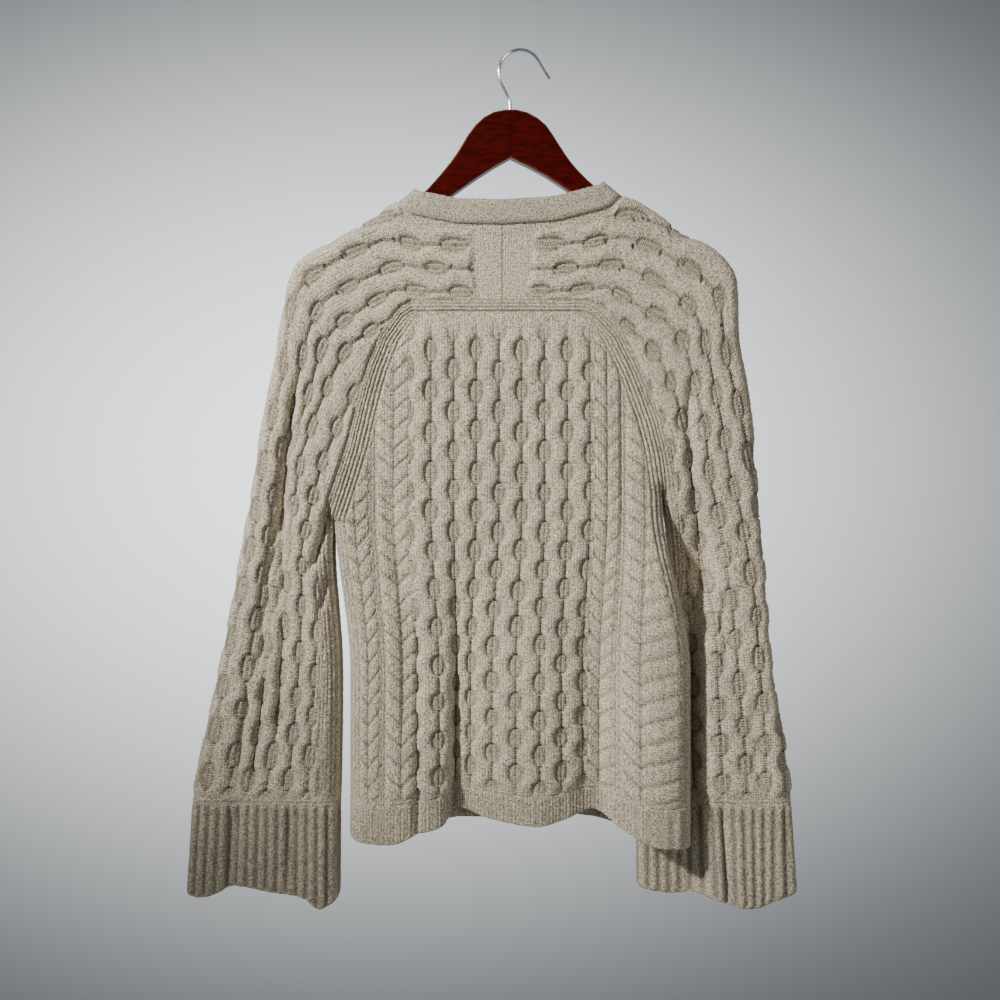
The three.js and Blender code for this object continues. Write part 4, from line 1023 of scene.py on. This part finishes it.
def knit_material():
    n = Nodes("oatmeal_knit")
    place = n.node("ShaderNodeTexCoord").outputs["Object"]
    column, line = n.attribute("column"), n.attribute("line")
    ladder, dark, dots = n.attribute("ladder"), n.attribute("dark"), n.attribute("dots")
    # Small holes between the rungs of each ladder, in the middle of a column, painted dark as painted shade
    from_middle = n.math("PINGPONG", column, 0.5)
    reach = n.math("SUBTRACT", n.math("MULTIPLY", ladder, 0.05), from_middle)
    across = n.node("ShaderNodeMapRange", {"Value": reach, "From Max": 0.018}).outputs[0]
    rung = n.math("SINE", n.math("MULTIPLY", line, 2 * math.pi / STITCH))
    between = n.node("ShaderNodeMapRange", {"Value": rung, "From Max": 0.5}).outputs[0]
    holes = n.math("MULTIPLY", across, between)
    # Rows of smaller holes under the neckband, painted dark as painted shade as well
    wide = n.math("SINE", n.math("MULTIPLY", column, 2 * math.pi * 3.6))
    tall = n.math("SINE", n.math("MULTIPLY", line, math.pi / STITCH))
    crossing = n.math("MULTIPLY", wide, tall)
    dotted = n.node("ShaderNodeMapRange", {"Value": crossing, "From Min": 0.45}).outputs[0]
    holes = n.math("MAXIMUM", holes, n.math("MULTIPLY", dots, dotted))
    # The yarn is darkened towards a near-black brown by the painted shade of its grooves and holes, and by
    # the dark seam lines
    shade = n.math("MAXIMUM", dark, n.math("MULTIPLY", holes, 0.85))
    colour = n.node("ShaderNodeMix", data_type="RGBA")
    n.set(colour.inputs["Factor"], n.math("MULTIPLY", shade, 0.95))
    n.set(colour.inputs[6], knit_colour(n, place))
    colour.inputs[7].default_value = (0.045, 0.03, 0.018, 1)
    n.set(n.shader.inputs["Base Color"], colour.outputs[2])
    soft_yarn(n)
    # Rows of stitches, and the loose fibres over them
    stitch = n.math("ABSOLUTE", n.math("SINE", n.math("MULTIPLY", line, math.pi / STITCH)))
    wale = n.math("ABSOLUTE", n.math("SINE", n.math("MULTIPLY", column, math.pi * 8)))
    low = n.bump(n.math("MULTIPLY", stitch, wale), 0.0008, 0.6)
    fibres = n.noise(place, 850.0, 4.0)
    n.set(n.shader.inputs["Normal"], n.bump(fibres, 0.0016, 0.9, low))
    return n.material


def fluff_material():
    n = Nodes("loose_fibres")
    place = n.node("ShaderNodeTexCoord").outputs["Object"]
    n.set(n.shader.inputs["Base Color"], knit_colour(n, place))
    soft_yarn(n)
    return n.material


def wood_material():
    n = Nodes("varnished_wood")
    place = n.node("ShaderNodeTexCoord").outputs["Object"]
    stretched = n.node("ShaderNodeMapping", {"Vector": place, "Scale": (14.0, 60.0, 60.0)}).outputs[0]
    grain = n.noise(stretched, 5.0, 6.0)
    wood = n.ramp(grain, (0.032, 0.0006, 0.0, 1), (0.075, 0.002, 0.0001, 1), 0.35, 0.68)
    # Lighter along its bevelled edges, a painted highlight in patches, with a dark line where its halves are
    # glued
    facing = n.node("ShaderNodeSeparateXYZ", {0: n.node("ShaderNodeTexCoord").outputs["Normal"]}).outputs[1]
    from_bevel = n.math("ABSOLUTE", n.math("SUBTRACT", n.math("ABSOLUTE", facing), 0.7))
    bevel_highlight = n.math("SUBTRACT", 1.0, n.math("MULTIPLY", from_bevel, 4.0))
    patchy = n.math("MULTIPLY", n.math("MAXIMUM", bevel_highlight, 0.0), n.noise(place, 90.0, 3.0))
    wood = n.ramp(patchy, wood, (0.30, 0.085, 0.045, 1), 0.2, 0.9)
    aside = n.node("ShaderNodeSeparateXYZ", {0: place}).outputs[0]
    glue = n.math("ABSOLUTE", n.math("ADD", aside, 0.008))
    wood = n.ramp(glue, (0.012, 0.001, 0.0004, 1), wood, 0.0002, 0.0006)
    n.set(n.shader.inputs["Base Color"], wood)
    n.shader.inputs["Roughness"].default_value = 0.36
    n.shader.inputs["Specular IOR Level"].default_value = 0.1
    n.shader.inputs["Coat Weight"].default_value = 0.04
    n.shader.inputs["Coat Roughness"].default_value = 0.15
    n.set(n.shader.inputs["Normal"], n.bump(grain, 0.0003, 0.12))
    return n.material


def chrome_material():
    n = Nodes("polished_chrome")
    place = n.node("ShaderNodeTexCoord").outputs["Object"]
    patchy = n.noise(place, 260.0, 3.0)
    n.set(n.shader.inputs["Base Color"], n.ramp(patchy, (0.55, 0.56, 0.58, 1), (0.72, 0.73, 0.75, 1)))
    n.shader.inputs["Metallic"].default_value = 1.0
    rough = n.node("ShaderNodeMapRange", {"Value": patchy, "To Min": 0.12, "To Max": 0.24}).outputs[0]
    n.set(n.shader.inputs["Roughness"], rough)
    return n.material


def plain_material(name, colour, roughness):
    n = Nodes(name)
    n.shader.inputs["Base Color"].default_value = colour
    n.shader.inputs["Roughness"].default_value = roughness
    return n.material


# The pieces of cloth

knit, loose_yarn = knit_material(), fluff_material()
walls = {
    "back_panel": (panel_wall(-1, 257, 341), 22000),
    "front_panel": (panel_wall(1, 193, 261), 9000),
    "left_sleeve": (arm_wall(ARMS["left"]), 15000),
    "right_sleeve": (arm_wall(ARMS["right"]), 15000),
    "left_cuff": (cuff_wall(ARMS["left"]), 5000),
    "right_cuff": (cuff_wall(ARMS["right"]), 5000),
    "back_hem": (hem_wall(-1, 257), 3500),
    "front_hem": (hem_wall(1, 193), 2000),
    "neckband": (neckband_wall(), 5000),
}
pieces = {}
for node, (wall, fibres) in walls.items():
    pieces[node] = wall.mesh(node + "_knit")
    pieces[node].data.materials.append(knit)
    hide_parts(node)
    fluff = wall.fluff(node + "_fluff", fibres)
    fluff.data.materials.append(loose_yarn)
    for piece in (pieces[node], fluff):
        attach(piece, "root")


# The hanger keeps its solids

def dress(node, material):
    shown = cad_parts[node]
    shown.data.materials.clear()
    shown.data.materials.append(material)


dress("hanger_wood", wood_material())
dress("hanger_hook", chrome_material())


# Floor, wall, light and camera

def stage_plane(name, corners, material):
    faces = np.array([[0, 1, 2], [0, 2, 3]])
    plane = new_mesh(name, np.array(corners, float), faces)
    plane.data.materials.append(material)


WALL_Y, FLOOR_Z, REACH = 2.0, -1.95, 5.0


def wall_material():
    """A pale wall that glows by itself, with a painted pool of light: brightest at the left of the sweater
    and darker towards its corners.
    """
    n = Nodes("pale_wall")
    place = n.node("ShaderNodeTexCoord").outputs["Object"]
    middle = {"Vector": place, "Location": (0.268, -WALL_Y, 0.33), "Scale": (0.67, 1.0, 1.0)}
    spread = n.node("ShaderNodeMapping", middle).outputs[0]
    far = n.node("ShaderNodeVectorMath", {0: spread}, operation="LENGTH").outputs["Value"]
    glow = n.math("EXPONENT", n.math("MULTIPLY", n.math("POWER", far, 2.0), -1.0))
    n.set(n.shader.inputs["Emission Color"], n.ramp(glow, (0.07, 0.075, 0.085, 1), (2.1, 2.2, 2.25, 1)))
    n.shader.inputs["Emission Strength"].default_value = 1.0
    n.shader.inputs["Base Color"].default_value = (0.02, 0.02, 0.02, 1)
    n.shader.inputs["Roughness"].default_value = 1.0
    n.shader.inputs["Specular IOR Level"].default_value = 0.0
    return n.material


pale = plain_material("pale_grey", (0.60, 0.63, 0.67, 1), 0.9)
stage_plane("floor", [(-REACH, -REACH, FLOOR_Z), (REACH, -REACH, FLOOR_Z), (REACH, WALL_Y, FLOOR_Z),
                      (-REACH, WALL_Y, FLOOR_Z)], pale)
stage_plane("backdrop", [(-REACH, WALL_Y, FLOOR_Z), (REACH, WALL_Y, FLOOR_Z), (REACH, WALL_Y, REACH),
                         (-REACH, WALL_Y, REACH)], wall_material())


def aimed(name, light, place, aim):
    lamp = bpy.data.objects.new(name, light)
    lamp.location = place
    lamp.rotation_euler = (Vector(aim) - Vector(place)).to_track_quat("-Z", "Y").to_euler()
    bpy.context.scene.collection.objects.link(lamp)


def spot_light(name, place, aim, angle, radius, power):
    light = bpy.data.lights.new(name, "SPOT")
    light.energy, light.shadow_soft_size = power, radius
    light.spot_size, light.spot_blend = math.radians(angle), 1.0
    aimed(name, light, place, aim)


def area_light(name, place, aim, size, power):
    light = bpy.data.lights.new(name, "AREA")
    light.energy, light.size = power, size
    aimed(name, light, place, aim)


spot_light("key", (-1.75, -1.35, 0.75), (0.01, 0, -0.41), 27, 0.1, 430)
area_light("fill", (1.2, -1.8, -0.3), (0.05, 0, -0.42), 0.8, 6)
area_light("front_side", (0.4, 1.6, 0.7), (0, 0, -0.4), 1.4, 14)

world = bpy.data.worlds.new("soft_room")
world.use_nodes = True
world.node_tree.nodes["Background"].inputs["Color"].default_value = (0.80, 0.83, 0.88, 1)
world.node_tree.nodes["Background"].inputs["Strength"].default_value = 0.26
bpy.context.scene.world = world

camera = bpy.data.cameras.new("camera")
camera.sensor_width = 36.0
camera.lens = 37.8
viewer = bpy.data.objects.new("camera", camera)
viewer.location = (-0.018, -1.05, -0.4485)
viewer.rotation_euler = (math.pi / 2, 0, 0)
bpy.context.scene.collection.objects.link(viewer)
bpy.context.scene.camera = viewer
